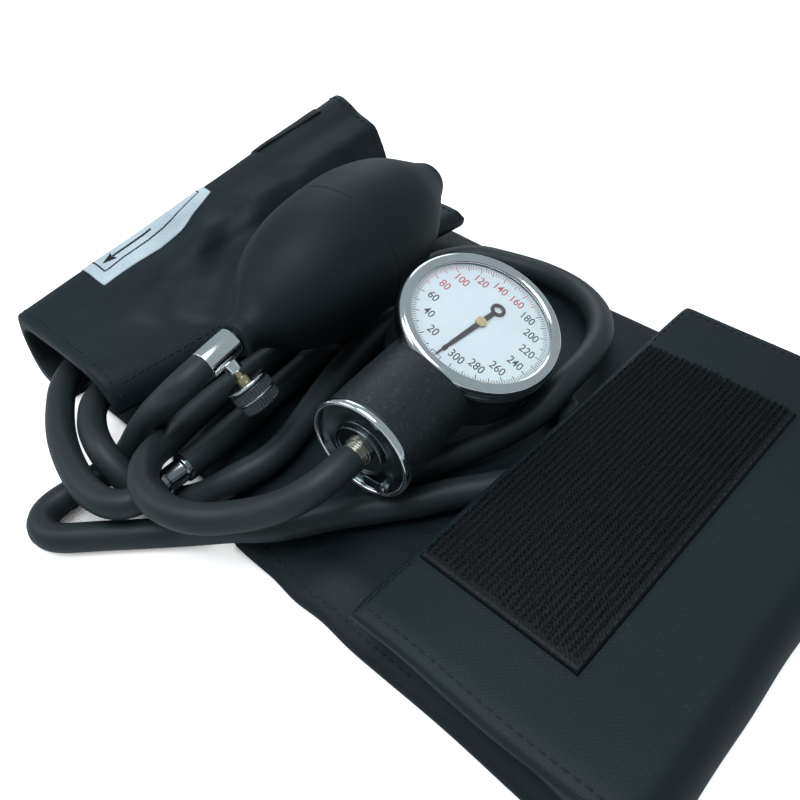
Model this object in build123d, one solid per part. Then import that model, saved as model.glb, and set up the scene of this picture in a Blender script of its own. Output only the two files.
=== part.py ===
from build123d import *
import os
from math import atan2, cos, degrees, pi, radians, sin, tan

os.makedirs("parts", exist_ok=True)

# Cuff: the folded cloth, lying on the ground at z = 0
cuff_half_length = 121.5
cuff_half_width = 75.5
base_thickness = 8.0
edge_height = 3.0
edge_run = 14.0
roll_join_x = -100.0
fold_join_x = 112.0
upper_left_x = 43.0
upper_top = 21.9
upper_gap = 17.4
hook_length = 46.0
hook_width = 103.0
hook_thickness = 1.4
label_thickness = 0.4
tag_thickness = 0.6
bladder_length = 180.0
bladder_width = 110.0
bladder_thickness = 2.6
bladder_z = 2.8
cloth_gap = 0.3

# Hoses
hose_diameter = 8.6
hose_bore = 4.6
hose_radius = hose_diameter / 2
barb_radius = hose_bore / 2 - 0.05
connector_radius = 3.6

# Squeeze bulb and its inlet valve, the axis turned a little from Y
bulb_centre = (-40.7, 3.9, 43.5)
bulb_turn = 10.3
bulb_wall = 2.4
bulb_length = 98.9
bulb_max_radius = 22.8
end_valve_radius = 5.6
ball_radius = 1.9
ball_travel = 0.8

# Release valve
valve_front = (-32.2, -46.0, 43.6)
valve_rear = (-30.7, -57.4, 42.4)
valve_radius = 4.4
valve_bore = 1.5
knob_axis = (0.589, 0.161, -0.792)
knob_radius = 6.0
knob_length = 7.6
knob_start = 10.9
boss_along = 5.0
boss_radius = 2.4
boss_length = 6.9
needle_radius = 1.1
thread_clearance = 0.05
seal_radius = 1.75
seal_start = 5.4
collar_radius = 1.95
collar_start = 9.0
vent_height = 4.7

# Gauge, in its own frame: dial face at z = 0, barrel towards -Y
gauge_frame = Plane(origin=(16.4, 3.3, 43.8), x_dir=(0.9028, 0.106, -0.4162), z_dir=(0.413, 0.052, 0.909))
bezel_radius = 24.0
bezel_opening = 20.4
bezel_top = 2.4
bezel_bottom = -3.2
case_radius = 22.6
case_wall = 1.2
case_back = -17.5
lens_thickness = 1.2
lens_z = 0.9
dial_radius = 20.8
dial_thickness = 0.6
pointer_z = 0.1
barrel_axis_z = -12.0
barrel_radius = 15.0
barrel_end_y = -46.8
ring_radius = 15.5
ring_end_y = -49.0
end_plate_radius = 14.0
hub_radius = 7.8
hub_face_y = -49.4
collar_y = -52.3
pinion_teeth = 10
sector_teeth = 100
tooth_module = 0.25
gear_centres = tooth_module * (pinion_teeth + sector_teeth) / 2
lever_length = 4.0
sector_swing = 34.5
arbor_radius = 0.6
pivot_clearance = 0.05
plate_radius = 17.5
front_plate_z = -3.6
back_plate_z = -9.8
plate_thickness = 0.8


upward = (Align.CENTER, Align.CENTER, Align.MIN)


def bend_radii(points, limit=60.0):
    vectors = [Vector(*b) - Vector(*a) for a, b in zip(points, points[1:])]
    radii = []
    for v, w in zip(vectors, vectors[1:]):
        half_turn = radians(v.get_angle(w)) / 2
        radii.append(min(limit, 0.45 * min(v.length, w.length) / tan(half_turn)))
    return radii


def route(points):
    return FilletPolyline(*points, radius=bend_radii(points))


def tube(points, outer, inner):
    path = route(points)
    section = Circle(outer) - Circle(inner)
    return sweep(Plane(origin=path @ 0, z_dir=path % 0) * section, path=path)


def solid_tube(points, radius):
    path = route(points)
    return sweep(Plane(origin=path @ 0, z_dir=path % 0) * Circle(radius), path=path)


def bar_between(start, end, radius, before=0.0, after=0.0):
    a = Vector(*start)
    direction = (Vector(*end) - a).normalized()
    length = (Vector(*end) - a).length + before + after
    return Plane(origin=a - direction * before, z_dir=direction) * Cylinder(
        radius, length, align=upward
    )


def ribbed_barb(plane, length):
    count = 3
    pitch = length / count
    barb = Cylinder(barb_radius - 0.35, length, align=upward)
    for i in range(count):
        cone = Cone(barb_radius, barb_radius - 0.35, pitch * 0.7, align=upward)
        barb += Pos(0, 0, i * pitch + pitch * 0.2) * cone
    barb -= Cylinder(1.2, length * 3)
    return plane * barb


def ring(outer, inner, bottom, top):
    solid = Pos(0, 0, bottom) * Cylinder(outer, top - bottom, align=upward)
    hole = Pos(0, 0, bottom - 1) * Cylinder(inner, top - bottom + 2, align=upward)
    return solid - hole


def disc(radius, bottom, top):
    return Pos(0, 0, bottom) * Cylinder(radius, top - bottom, align=upward)


def section_at(points, y):
    return make_face(Polyline(*[(x, y, z) for x, z in points], close=True))


def grown(points, amount):
    out = []
    count = len(points)
    for i, (x, z) in enumerate(points):
        ax, az = points[max(i - 1, 0)]
        bx, bz = points[min(i + 1, count - 1)]
        dx, dz = bx - ax, bz - az
        size = (dx * dx + dz * dz) ** 0.5
        out.append((x - dz / size * amount, z + dx / size * amount))
    return out


# Left roll and flap: outer line from the join over the ridge to the flap's edge, and back inside
far_outer = [
    (roll_join_x, 0), (-114, 0), (-119.5, 2.5), (-121.4, 9), (-121.5, 20), (-121.5, 32), (-121.4, 42),
    (-120.4, 48.5), (-116.5, 50.8), (-110.5, 49.3), (-105.6, 46.7), (-100, 45), (-96.9, 43.7), (-94, 38),
    (-92.5, 31.5), (-88, 27), (-78, 23.5), (-64, 21), (-57, 20.8), (-53.5, 20.3), (-51, 18.4),
]
far_inner = [
    (-52, 14.5), (-56, 11.8), (-64, 13), (-78, 15.5), (-90, 19), (-98, 25), (-101, 31), (-103, 37),
    (-108, 41), (-113, 42.5), (-115.3, 40), (-115.6, 30), (-115.2, 18), (-113.5, 11), (-109, 8.6),
    (roll_join_x, base_thickness),
]
near_outer = [
    (roll_join_x, 0), (-112, 0), (-117, 2), (-119, 7), (-119.3, 13), (-119, 18), (-118.3, 22), (-117.4, 25.5),
    (-116, 28.5), (-112, 30.2), (-108, 30.8), (-102, 31), (-97, 31.2), (-92, 31.6), (-88, 31.9), (-84, 32.1),
    (-76, 32.5), (-68, 32), (-62, 29.5), (-58.5, 25.5), (-57, 20.5),
]
near_inner = [
    (-59.5, 20), (-62, 24), (-67, 27.2), (-76, 28), (-84, 27.8), (-92, 27.2), (-98, 26.6), (-104, 26),
    (-109, 25.2), (-112.5, 23.5), (-114.2, 20.5), (-114.6, 17), (-114.2, 13.5), (-113, 10.8), (-109, 8.6),
    (roll_join_x, base_thickness),
]


def roll(grow=0.0):
    far = grown(far_outer, grow) + far_inner if grow else far_outer + far_inner
    near = grown(near_outer, grow) + near_inner if grow else near_outer + near_inner
    return loft([section_at(near, -cuff_half_width), section_at(far, cuff_half_width)], ruled=True)


cuff_left_flap = roll()

# Base layer, thinner along its near edge, with a pocket for the bladder
near_line = -66.0
base_outline = [
    (roll_join_x, near_line - 4), (-60, near_line - 2), (-32, near_line), (-12, near_line),
    (-9.5, -cuff_half_width), (fold_join_x, -cuff_half_width), (fold_join_x, cuff_half_width),
    (roll_join_x, cuff_half_width),
]
cuff_base = extrude(make_face(Polyline(*base_outline, close=True)), base_thickness)
slope = (base_thickness - edge_height) / edge_run
for x_low, x_high, edge_y in [(roll_join_x, -9.5, near_line), (-9.5, fold_join_x, -cuff_half_width)]:
    wedge = [
        (edge_y - 9, edge_height - 9 * slope), (edge_y + edge_run, base_thickness),
        (edge_y + edge_run, base_thickness + 9), (edge_y - 9, base_thickness + 9),
    ]
    wedge_face = make_face(Polyline(*[(x_low, y, z) for y, z in wedge], close=True))
    cuff_base -= extrude(wedge_face, x_high - x_low, dir=(1, 0, 0))
bladder_plan = Pos(0, 8, bladder_z) * RectangleRounded(bladder_length, bladder_width, 18)
pocket_plan = Pos(0, 8, bladder_z - cloth_gap) * RectangleRounded(
    bladder_length + 2 * cloth_gap, bladder_width + 2 * cloth_gap, 18 + cloth_gap
)
cuff_base -= extrude(pocket_plan, bladder_thickness + 2 * cloth_gap)

# Right fold: one strip that turns round the fold and lies back over the base
fold_profile = [
    (fold_join_x, base_thickness), (109, 8.3), (100, 12.5), (75, upper_gap - 1.2),
    (upper_left_x + 1.5, upper_gap), (upper_left_x, upper_top - 2.3), (upper_left_x + 2, upper_top),
    (fold_join_x, upper_top - 0.9),
]
fold_edge = Polyline(*[(x, 0, z) for x, z in fold_profile])
fold_arc = ThreePointArc(
    (fold_join_x, 0, upper_top - 0.9), (cuff_half_length, 0, (upper_top - 0.9) / 2), (fold_join_x, 0, 0)
)
fold_close = Line((fold_join_x, 0, 0), (fold_join_x, 0, base_thickness))
cuff_right_fold = Pos(0, cuff_half_width, 0) * extrude(
    make_face([*fold_edge.edges(), fold_arc, fold_close]), 2 * cuff_half_width, dir=(0, -1, 0)
)

# Hook patch on the flat top of the fold
top_drop = 0.9 / (fold_join_x - upper_left_x - 2)
hook_left = upper_left_x + 2.2
hook_right = hook_left + hook_length
hook_top_left = upper_top - 0.2 * top_drop
hook_top_right = upper_top - (hook_right - upper_left_x - 2) * top_drop
hook_face = make_face(Polyline(
    (hook_left, 49, hook_top_left), (hook_right, 49, hook_top_right),
    (hook_right, 49, hook_top_right + hook_thickness), (hook_left, 49, hook_top_left + hook_thickness),
    close=True
))
hook_patch = extrude(hook_face, hook_width, dir=(0, -1, 0))

# Label and tag: thin skins on the roll
label_plan = Polyline((-117.2, -49.2), (-101.4, -47.3), (-102, -25.6), (-110.2, 5), (-116.6, 1.2), close=True)
label_prism = Pos(0, 0, 26) * extrude(make_face(label_plan), 40)
artery_label = (roll(label_thickness) & label_prism) - cuff_left_flap
tag_plan = Polyline((-119, 30), (-114.6, 31), (-113.2, 62), (-118.4, 62), close=True)
tag_prism = Pos(0, 0, 32) * extrude(make_face(tag_plan), 40)
woven_tag = (roll(tag_thickness) & tag_prism) - cuff_left_flap

# Hose routes
gauge_mouth = gauge_frame.from_local_coords((0, collar_y, barrel_axis_z))
gauge_run = gauge_frame.from_local_coords((0, collar_y - 8, barrel_axis_z))
gauge_route = [
    tuple(gauge_mouth), tuple(gauge_run), (14.8, -66, 29.5), (8.8, -71.5, 25.6), (3, -76.5, 23.6),
    (-2.1, -81.6, 23), (-8.8, -86.2, 23.1), (-17.3, -88, 23.1), (-26, -86.7, 23.1), (-33.4, -80.2, 22.8),
    (-38.8, -69.4, 18.6), (-43, -58.2, 17.3), (-45.8, -43, 16.5), (-47.6, -25, 15.5), (-48.6, -5, 14),
    (-48, 18, 13), (-47.3, 38, 12.7), (-44.5, 54, 12.6), (-36.5, 64.5, 12.7), (-23.8, 68.1, 12.6),
    (-9.2, 70.9, 12.7), (5.7, 69.3, 13.2), (19.9, 60.6, 16), (30.9, 45.5, 20.5), (35, 31.2, 22.3),
    (35.7, 17.7, 22.7), (35.2, 6.8, 18.4), (30.5, -2.2, 14), (26, -12.4, 12.9), (22.5, -20.5, 12.8),
    (19.4, -27.5, 12.5),
]
cuff_route = [
    (-30.6, -71.5, 13.804), (-30.933, -66.5, 13.751), (-32.2, -59, 13.3), (-33.5, -49.8, 13),
    (-34.9, -40, 13), (-37, -28.9, 12.8), (-38.6, -19, 12.5),
]
valve_direction = (Vector(*valve_rear) - Vector(*valve_front)).normalized()
bulb_route = [
    valve_rear, tuple(Vector(*valve_rear) + valve_direction * 6), (-32.7, -68.4, 37.7), (-48.9, -71.4, 20.2),
    (-55.2, -79.5, 5.2), (-56.6, -92.5, 4.7), (-57, -107.2, 4.7), (-46.9, -111.2, 4.7),
    (-36.1, -99.9, 4.7), (-27.9, -91.9, 4.7), (-19.8, -83.9, 4.9),
    (-12.5, -79.8, 8), (-4, -75.2, 12), (4, -69, 12.7), (8.8, -62.4, 12.8), (14.9, -53.4, 12.7),
    (21.7, -44.8, 12.8), (28.5, -36.2, 12.7), (33.2, -28.4, 12.8), (39, -21, 12.7), (46, -11, 12.8),
    (49, 1, 12.7), (45.5, 12, 12.8), (36, 20, 12.7), (22, 25.5, 12.8), (6, 29.5, 12.7), (-10, 31, 12.8),
    (-24, 29, 12.7), (-32.6, 21.5, 12.8), (-33.6, 10, 12.7), (-28.7, -10.4, 12.8), (-24.9, -22.7, 12.7),
    (-20.5, -33.7, 12.8), (-16.7, -44.2, 12.7), (-14.8, -54.2, 12.7), (-17.5, -63.5, 11.9), (-24, -73, 6.3),
    (-31.5, -79.5, 4.8), (-39.5, -83.5, 6.2), (-47.5, -85.4, 13.2), (-55, -84.9, 16.3), (-65.6, -81.4, 16.4),
    (-74.5, -74.3, 16.5), (-77.5, -60, 16.2), (-77.8, -46, 15.4), (-80, -34, 14.6), (-86.5, -26.5, 14.2),
    (-95.5, -26.5, 14.3), (-102, -34, 14.5), (-103.5, -47, 15.2), (-98.5, -62, 16), (-89.7, -77.4, 15.8),
    (-79, -84.9, 15.1), (-67.6, -90.6, 14.8), (-54.6, -94.4, 14.5), (-43.5, -96, 14.2), (-34.5, -94.3, 14),
    (-29.5, -88, 13.98), (-30, -80.5, 13.9),
]
gauge_hose = tube(gauge_route, hose_radius, hose_bore / 2)
cuff_tube = tube(cuff_route, hose_radius, hose_bore / 2)
bulb_hose = tube(bulb_route, hose_radius, hose_bore / 2)
for name, points, hose in [
    ("gauge_hose", gauge_route, gauge_hose),
    ("cuff_tube", cuff_route, cuff_tube),
    ("bulb_hose", bulb_route, bulb_hose),
]:
    wall_area = pi * (hose_radius ** 2 - (hose_bore / 2) ** 2)
    length = route(points).length
    print(name, "length", round(length, 1), "smallest bend", round(min(bend_radii(points)), 1),
          "volume over length", round(hose.volume / wall_area / length, 4))

# Chrome connector between the bulb hose and the cuff tube
tube_connector = bar_between(bulb_route[-1], cuff_route[0], connector_radius)
tube_connector += bar_between(bulb_route[-1], cuff_route[0], hose_radius, before=-0.2, after=-7.6)
tube_connector += bar_between(bulb_route[-1], cuff_route[0], hose_radius, before=-7.6, after=-0.2)
tube_connector -= bar_between(bulb_route[-1], cuff_route[0], 1.2, before=1, after=1)
connector_barbs = [(bulb_route[-1], bulb_route[-2]), (cuff_route[0], cuff_route[1])]
for near, further in connector_barbs:
    direction = (Vector(*further) - Vector(*near)).normalized()
    tube_connector += ribbed_barb(Plane(origin=Vector(*near), z_dir=direction), 3.4)

# Bladder with two hose necks that rise through the base layer
bladder = extrude(bladder_plan, bladder_thickness)
for points, drift in [(gauge_route, (-3.4, -7.2, -6.6)), (cuff_route, (-0.6, 8.2, -6.6))]:
    mouth = Vector(*points[-1])
    direction = (mouth - Vector(*points[-2])).normalized()
    bend = mouth + direction * 6
    neck_points = [tuple(mouth), tuple(bend), tuple(bend + Vector(*drift))]
    bladder += tube(neck_points, hose_radius, hose_bore / 2)
    slot_points = [tuple(mouth - direction * 2), tuple(bend), tuple(bend + Vector(*drift) * 1.2)]
    cuff_base -= solid_tube(slot_points, hose_radius + cloth_gap)
    bladder -= solid_tube(neck_points, hose_bore / 2)
below_bladder = Box(2 * cuff_half_length, 2 * cuff_half_width, 12, align=upward)
bladder -= Pos(0, 0, bladder_z - 12) * below_bladder

# Squeeze bulb: a shell turned about its long axis, given as shares of half its length and of its radius
bulb_shares = [
    (-1.02, 0.254), (-0.93, 0.268), (-0.86, 0.336), (-0.734, 0.553), (-0.562, 0.785),
    (-0.303, 0.956), (0, 1), (0.303, 0.965), (0.584, 0.803), (0.779, 0.579), (0.898, 0.42),
    (0.957, 0.36), (1.005, 0.32),
]
bulb_profile = [(share * bulb_length / 2, size * bulb_max_radius) for share, size in bulb_shares]
bulb_near_y = bulb_profile[0][0]
bulb_far_y = bulb_profile[-1][0]
bulb_axis = Axis((0, 0, 0), (0, 1, 0))
outer_face = make_face(Polyline(
    (0, bulb_near_y, 0), *[(r, y, 0) for y, r in bulb_profile], (0, bulb_far_y, 0), close=True
))
inner_profile = [(y, r - bulb_wall) for y, r in bulb_profile[3:-3]]
inner_near_y = bulb_near_y + 9.7
inner_far_y = bulb_far_y - 8.7
bulb_hollow = Polyline(
    (0, inner_near_y, 0), (4.0, inner_near_y, 0), *[(r, y, 0) for y, r in inner_profile],
    (4.0, inner_far_y, 0), (0, inner_far_y, 0), close=True
)
place_bulb = Pos(*bulb_centre) * Rot(0, 0, bulb_turn)
bulb_shell = revolve(outer_face, bulb_axis) - revolve(make_face(bulb_hollow), bulb_axis)
bulb_shell = place_bulb * bulb_shell

# Release valve
front = Vector(*valve_front)
rear = Vector(*valve_rear)
along = (rear - front).normalized()
side = Vector(*knob_axis)
side = (side - along * side.dot(along)).normalized()
neck_plane = Plane(origin=front, z_dir=along * -1)
nipple_length = 7.5
valve_body = bar_between(valve_front, valve_rear, valve_radius)
valve_body += neck_plane * Cylinder(3.1, nipple_length, align=upward)
valve_body += ribbed_barb(Plane(origin=rear, z_dir=along), 3.6)
boss_point = front + along * boss_along
boss_plane = Plane(origin=boss_point, z_dir=side)
valve_body += boss_plane * Cylinder(boss_radius, boss_length, align=upward)
valve_body -= Plane(origin=front - along * (nipple_length + 1), z_dir=along) * Cylinder(
    valve_bore, 40, align=upward
)
valve_body -= boss_plane * Cylinder(0.8, 3.3, align=upward)
valve_body -= boss_plane * Pos(0, 0, 3.2) * Cylinder(
    needle_radius + thread_clearance, 12, align=upward
)
valve_body -= boss_plane * Pos(0, 0, seal_start - 0.1) * Cylinder(
    seal_radius + thread_clearance, 12, align=upward
)
vent_plane = Plane(origin=boss_point + side * vent_height, z_dir=along.cross(side))
valve_body -= vent_plane * Cylinder(0.4, 12)
bulb_shell -= neck_plane * Pos(0, 0, -0.01) * Cylinder(3.1, nipple_length + 4, align=upward)
bulb_shell -= bar_between(valve_front, valve_rear, valve_radius + 0.1, before=0.0, after=4)

knob_plane = Plane(origin=boss_point, z_dir=side)
valve_needle = knob_plane * (
    Pos(0, 0, 4.1) * Cylinder(needle_radius, knob_start - 4.1 + 5, align=upward)
)
valve_needle += knob_plane * Pos(0, 0, 3.25) * Cone(0.75, needle_radius, 0.9, align=upward)
valve_needle += knob_plane * Pos(0, 0, collar_start) * Cylinder(
    collar_radius, knob_start - collar_start, align=upward
)
needle_seal = knob_plane * ring(seal_radius, needle_radius + thread_clearance, seal_start, seal_start + 1.2)
knob_ring_width = 1.0
knob_ring = knob_plane * ring(knob_radius + 0.2, needle_radius, knob_start, knob_start + knob_ring_width)
knob_low = knob_start + knob_ring_width
knob_high = knob_low + knob_length
valve_knob = ring(knob_radius - 0.35, needle_radius, knob_low, knob_high - 2.5)
valve_knob += disc(knob_radius - 0.35, knob_high - 2.6, knob_high)
bands = [
    (knob_low + 0.5, knob_low + 3.3, knob_radius + 0.3),
    (knob_low + 4.1, knob_high - 0.6, knob_radius - 0.1),
]
flute_count = 36
for low, high, radius in bands:
    band = ring(radius, knob_radius - 1, low, high)
    flute = Pos(radius, 0, low - 0.1) * Rot(0, 0, 45) * Box(
        0.6, 0.6, high - low + 0.2, align=upward
    )
    band -= [Rot(0, 0, 360 / flute_count * i) * flute for i in range(flute_count)]
    valve_knob += band
valve_knob -= Pos(0, 0, knob_high - 0.7) * Cylinder(3.6, 2, align=upward)
valve_knob = knob_plane * valve_knob

# Inlet valve in the bulb's far end
bulb_direction = Vector(0, 1, 0).rotate(Axis.Z, bulb_turn)
end_plane = Plane(origin=Vector(*bulb_centre) + bulb_direction * bulb_far_y, z_dir=bulb_direction)
end_valve_length = 10.0
bulb_shell -= end_plane * Pos(0, 0, -end_valve_length) * Cylinder(
    end_valve_radius, end_valve_length + 2, align=upward
)
chamber_radius = ball_radius + 0.3
end_valve_body = ring(end_valve_radius, chamber_radius, -end_valve_length, 0)
end_valve_body += ring(6.6, 3.0, 0, 1.2)
seat_z = -4.0
end_valve_body += disc(chamber_radius + 0.2, seat_z, 0)
end_valve_body -= Pos(0, 0, seat_z - 0.1) * Cylinder(1.0, 8, align=upward)
ball_z = seat_z - ball_radius - 0.02
check_ball = end_plane * Pos(0, 0, ball_z) * Sphere(ball_radius)
filter_top = ball_z - ball_radius - ball_travel - 0.05
inlet_filter = disc(chamber_radius, filter_top - 0.8, filter_top)
for i in range(5):
    inlet_filter -= Rot(0, 0, 72 * i) * Pos(1.2, 0, filter_top - 2) * Cylinder(
        0.35, 4, align=upward
    )
end_valve_body = end_plane * end_valve_body
inlet_filter = end_plane * inlet_filter

# Gauge case, bezel, lens and dial
place = gauge_frame.location
barrel_plane = Plane(origin=(0, 0, barrel_axis_z), z_dir=(0, -1, 0))
gauge_case = disc(case_radius, case_back, -1.4) - disc(case_radius - case_wall, case_back + case_wall, 2)
gauge_case -= barrel_plane * Cylinder(4.0, 40, align=upward)
bezel_ring = ring(bezel_radius, case_radius, bezel_bottom, -1.4)
bezel_ring += ring(bezel_radius, bezel_opening + 1.2, -1.4, lens_z + lens_thickness)
bezel_ring += ring(bezel_radius, bezel_opening, lens_z + lens_thickness, bezel_top)
crystal_lens = disc(bezel_opening + 1.15, lens_z, lens_z + lens_thickness)
dial_plate = ring(dial_radius, 1.2, -dial_thickness, 0)
dial_ledge = ring(bezel_opening + 1.1, dial_radius - 1.2, -1.4, -dial_thickness)
gauge_case += dial_ledge
gauge_case += ring(case_radius - case_wall + 0.1, dial_radius - 1.2, -2.2, -1.4)

# Pointer, hub and pinion arbor: zero lies 7 degrees past the barrel's direction
zero_angle = -97.0
pointer_outline = [
    (-0.8, 0), (-0.6, 12), (-0.15, 18.6), (0.15, 18.6), (0.6, 12), (0.8, 0), (0.7, -6), (-0.7, -6),
]
pointer = extrude(make_face(Polyline(*pointer_outline, close=True)), 0.4)
pointer += disc(1.6, 0, 0.4)
pointer += Pos(0, -7.6, 0) * ring(2.2, 1.2, 0, 0.4)
pointer -= Cylinder(0.9, 4)
pointer = Pos(0, 0, pointer_z) * pointer
pointer = Rot(0, 0, zero_angle - 90) * pointer
pointer_hub = ring(1.6, arbor_radius, pointer_z + 0.4, pointer_z + 0.7)
pointer_hub += ring(0.9, arbor_radius, pointer_z, pointer_z + 0.5)
pinion_mid = -6.9
pinion_half = 0.9


def toothed(teeth, low_angle, high_angle, phase):
    pitch_radius = tooth_module * teeth / 2
    step = 360 / teeth
    tip = pitch_radius + 0.85 * tooth_module
    root = pitch_radius - 1.1 * tooth_module
    points = []
    count = int((high_angle - low_angle) / step)
    for i in range(count):
        centre = phase + i * step
        for offset, radius in [(-0.26, root), (-0.11, tip), (0.11, tip), (0.26, root)]:
            angle = radians(centre + offset * step)
            points.append((radius * cos(angle), radius * sin(angle)))
    return points


sector_x = -lever_length
sector_y = (gear_centres ** 2 - sector_x ** 2) ** 0.5
mesh_angle = degrees(atan2(-sector_y, -sector_x))
pinion_phase = mesh_angle + 180 + 180 / pinion_teeth
pinion_face = make_face(Polyline(*toothed(pinion_teeth, 0, 360.1, pinion_phase), close=True))
pinion_shaft = Pos(0, 0, pinion_mid - pinion_half) * extrude(pinion_face, 2 * pinion_half)
pinion_shaft += disc(arbor_radius, back_plate_z, pointer_z + 0.7)

teeth_before = int((sector_swing + 5) / (360 / sector_teeth))
sector_phase = mesh_angle - teeth_before * 360 / sector_teeth
arc_points = toothed(sector_teeth, 0, (teeth_before + 3) * 360 / sector_teeth + 0.1, sector_phase)
sector_face = make_face(Polyline((0, 0), *arc_points, close=True))
sector_gear = extrude(sector_face, 0.8) - disc(8.6, -1, 2) + disc(2.2, 0, 0.8)
spoke_angles = [sector_phase + 5, mesh_angle + 2]
for angle in spoke_angles:
    sector_gear += Rot(0, 0, angle) * Pos(5.5, 0, 0) * Box(9, 1.6, 0.8, align=upward)
sector_gear = Pos(0, 0, pinion_mid - 0.4) * sector_gear
sector_gear += disc(arbor_radius + 0.3, barrel_axis_z - 0.8, front_plate_z + plate_thickness)
lever = Pos(0, 0, barrel_axis_z - 0.8) * Box(
    lever_length, 1.0, 1.0, align=(Align.MIN, Align.CENTER, Align.MIN)
)
lever += Pos(lever_length, 0, 0) * disc(0.9, barrel_axis_z - 0.8, barrel_axis_z + 0.8)
sector_gear += Rot(0, 0, -sector_swing / 2) * lever
sector_gear = Pos(sector_x, sector_y, 0) * sector_gear

# Push rod from the bellows to the sector's lever
lever_pin_y = sector_y - lever_length * sin(radians(sector_swing / 2))
rod_end_y = lever_pin_y - 0.9 - 0.06
bellows_low = -42.0
bellows_high = -27.5
push_rod = Pos(0, rod_end_y, barrel_axis_z) * Rot(90, 0, 0) * Cylinder(
    0.9, rod_end_y - bellows_high, align=upward
)
push_rod += Pos(0.15, rod_end_y - 1.2, barrel_axis_z - 0.7) * Box(
    2.1, 1.2, 1.4, align=(Align.CENTER, Align.MIN, Align.MIN)
)
push_rod += Pos(0, bellows_high + 0.9, barrel_axis_z) * Rot(90, 0, 0) * Cylinder(
    2.6, 0.85, align=upward
)

# Movement: two plates, three posts and three screws
post_places = [(-14.2, -4.0), (14.2, -4.0), (7.5, 13.0)]
plate_holes = [
    (0, 0, arbor_radius + pivot_clearance), (sector_x, sector_y, arbor_radius + 0.3 + pivot_clearance),
]


def movement_plate(bottom):
    plate = disc(plate_radius, bottom, bottom + plate_thickness)
    plate -= Pos(0, -plate_radius - 4, bottom) * Box(60, 18, 6)
    for x, y, radius in plate_holes:
        plate -= Pos(x, y, bottom) * Cylinder(radius, 6)
    for x, y in post_places:
        plate -= Pos(x, y, bottom) * Cylinder(0.8, 6)
    return plate


front_plate = movement_plate(front_plate_z)
back_plate = movement_plate(back_plate_z)
movement_posts = []
movement_screws = []
for x, y in post_places:
    movement_posts.append(Pos(x, y, 0) * ring(1.7, 0.8, back_plate_z + plate_thickness, front_plate_z))
    screw = disc(0.8, case_back + case_wall, front_plate_z + plate_thickness)
    screw += disc(1.6, front_plate_z + plate_thickness, front_plate_z + plate_thickness + 0.5)
    screw -= Pos(0, 0, front_plate_z + plate_thickness + 0.5) * Box(4, 0.4, 0.5)
    movement_screws.append(Pos(x, y, 0) * screw)
    foot = ring(2.2, 0.8, case_back + case_wall, back_plate_z)
    gauge_case += Pos(x, y, 0) * foot

# Hairspring: a flat coil round the arbor
spring_z = front_plate_z - 1.6
turns = 4
coil_points = []
for i in range(turns * 12 + 1):
    angle = 2 * pi * i / 12
    radius = 1.5 + 0.55 * i / 12
    coil_points.append((radius * cos(angle), radius * sin(angle)))
back_points = []
for i in reversed(range(turns * 12 + 1)):
    angle = 2 * pi * i / 12
    radius = 1.5 + 0.55 * i / 12 + 0.16
    back_points.append((radius * cos(angle), radius * sin(angle)))
hairspring = Pos(0, 0, spring_z) * extrude(make_face(Polyline(*coil_points, *back_points, close=True)), 0.5)

# Barrel with bellows, end ring, end plate and hose barb
barrel_profile = [
    (18.0, barrel_radius), (28.0, barrel_radius), (38.0, barrel_radius - 0.2),
    (-barrel_end_y, barrel_radius - 0.2),
]
barrel_outer = Polyline(
    (0, 18, 0), *[(r, d, 0) for d, r in barrel_profile], (0, -barrel_end_y, 0), close=True
)
barrel_inner = Polyline(
    (0, 17, 0), (4.2, 17, 0), (4.2, 26.4, 0), (barrel_radius - 2.6, 26.4, 0), (barrel_radius - 2.6, 33, 0),
    (barrel_radius - 1.4, -barrel_end_y + 1, 0), (0, -barrel_end_y + 1, 0), close=True
)
spin = Axis((0, 0, 0), (0, 1, 0))
gauge_barrel = revolve(make_face(barrel_outer), spin) - revolve(make_face(barrel_inner), spin)
turn_over = Pos(0, 0, barrel_axis_z) * Rot(0, 0, 180)
gauge_barrel = turn_over * gauge_barrel
gauge_barrel -= disc(case_radius, -40, 10)
gauge_barrel -= disc(bezel_radius + 0.1, bezel_bottom - 0.1, 10)
end_ring_profile = Polyline(
    (end_plate_radius, -barrel_end_y, 0), (ring_radius - 0.4, -barrel_end_y, 0),
    (ring_radius, -barrel_end_y + 0.4, 0), (ring_radius, -ring_end_y - 0.6, 0),
    (ring_radius - 0.2, -ring_end_y - 0.2, 0), (ring_radius - 0.6, -ring_end_y, 0),
    (end_plate_radius, -ring_end_y, 0), close=True
)
barrel_end_ring = turn_over * revolve(make_face(end_ring_profile), spin)
plate_face = -barrel_end_y + 0.6
hub_floor = -hub_face_y - 0.8
plate_profile = Polyline(
    (0, -barrel_end_y, 0), (end_plate_radius, -barrel_end_y, 0), (end_plate_radius, plate_face, 0),
    (hub_radius + 0.3, plate_face, 0), (hub_radius, -hub_face_y, 0), (hub_radius - 0.6, -hub_face_y, 0),
    (hub_radius - 0.8, hub_floor, 0), (0, hub_floor, 0), close=True
)
barrel_end_plate = turn_over * revolve(make_face(plate_profile), spin)
barrel_line = Plane(origin=(0, 0, barrel_axis_z), x_dir=(1, 0, 0), z_dir=(0, -1, 0))
barrel_end_plate -= barrel_line * Cylinder(2.0, -2 * collar_y)
lug_height = 1.8
lug_place = barrel_line * Pos(8.1, -7.6, plate_face) * Rot(0, 0, 29)
barrel_end_plate += lug_place * extrude(SlotOverall(8.4, 3.8), lug_height)
inlet_barb = ring(3.3, 1.2, hub_floor, -collar_y - 0.5) + ring(4.2, 1.2, hub_floor, hub_floor + 0.7)
inlet_barb += ring(3.8, 1.2, -collar_y - 0.5, -collar_y)
inlet_barb += ring(2.0, 1.2, -barrel_end_y, hub_floor)
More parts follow.
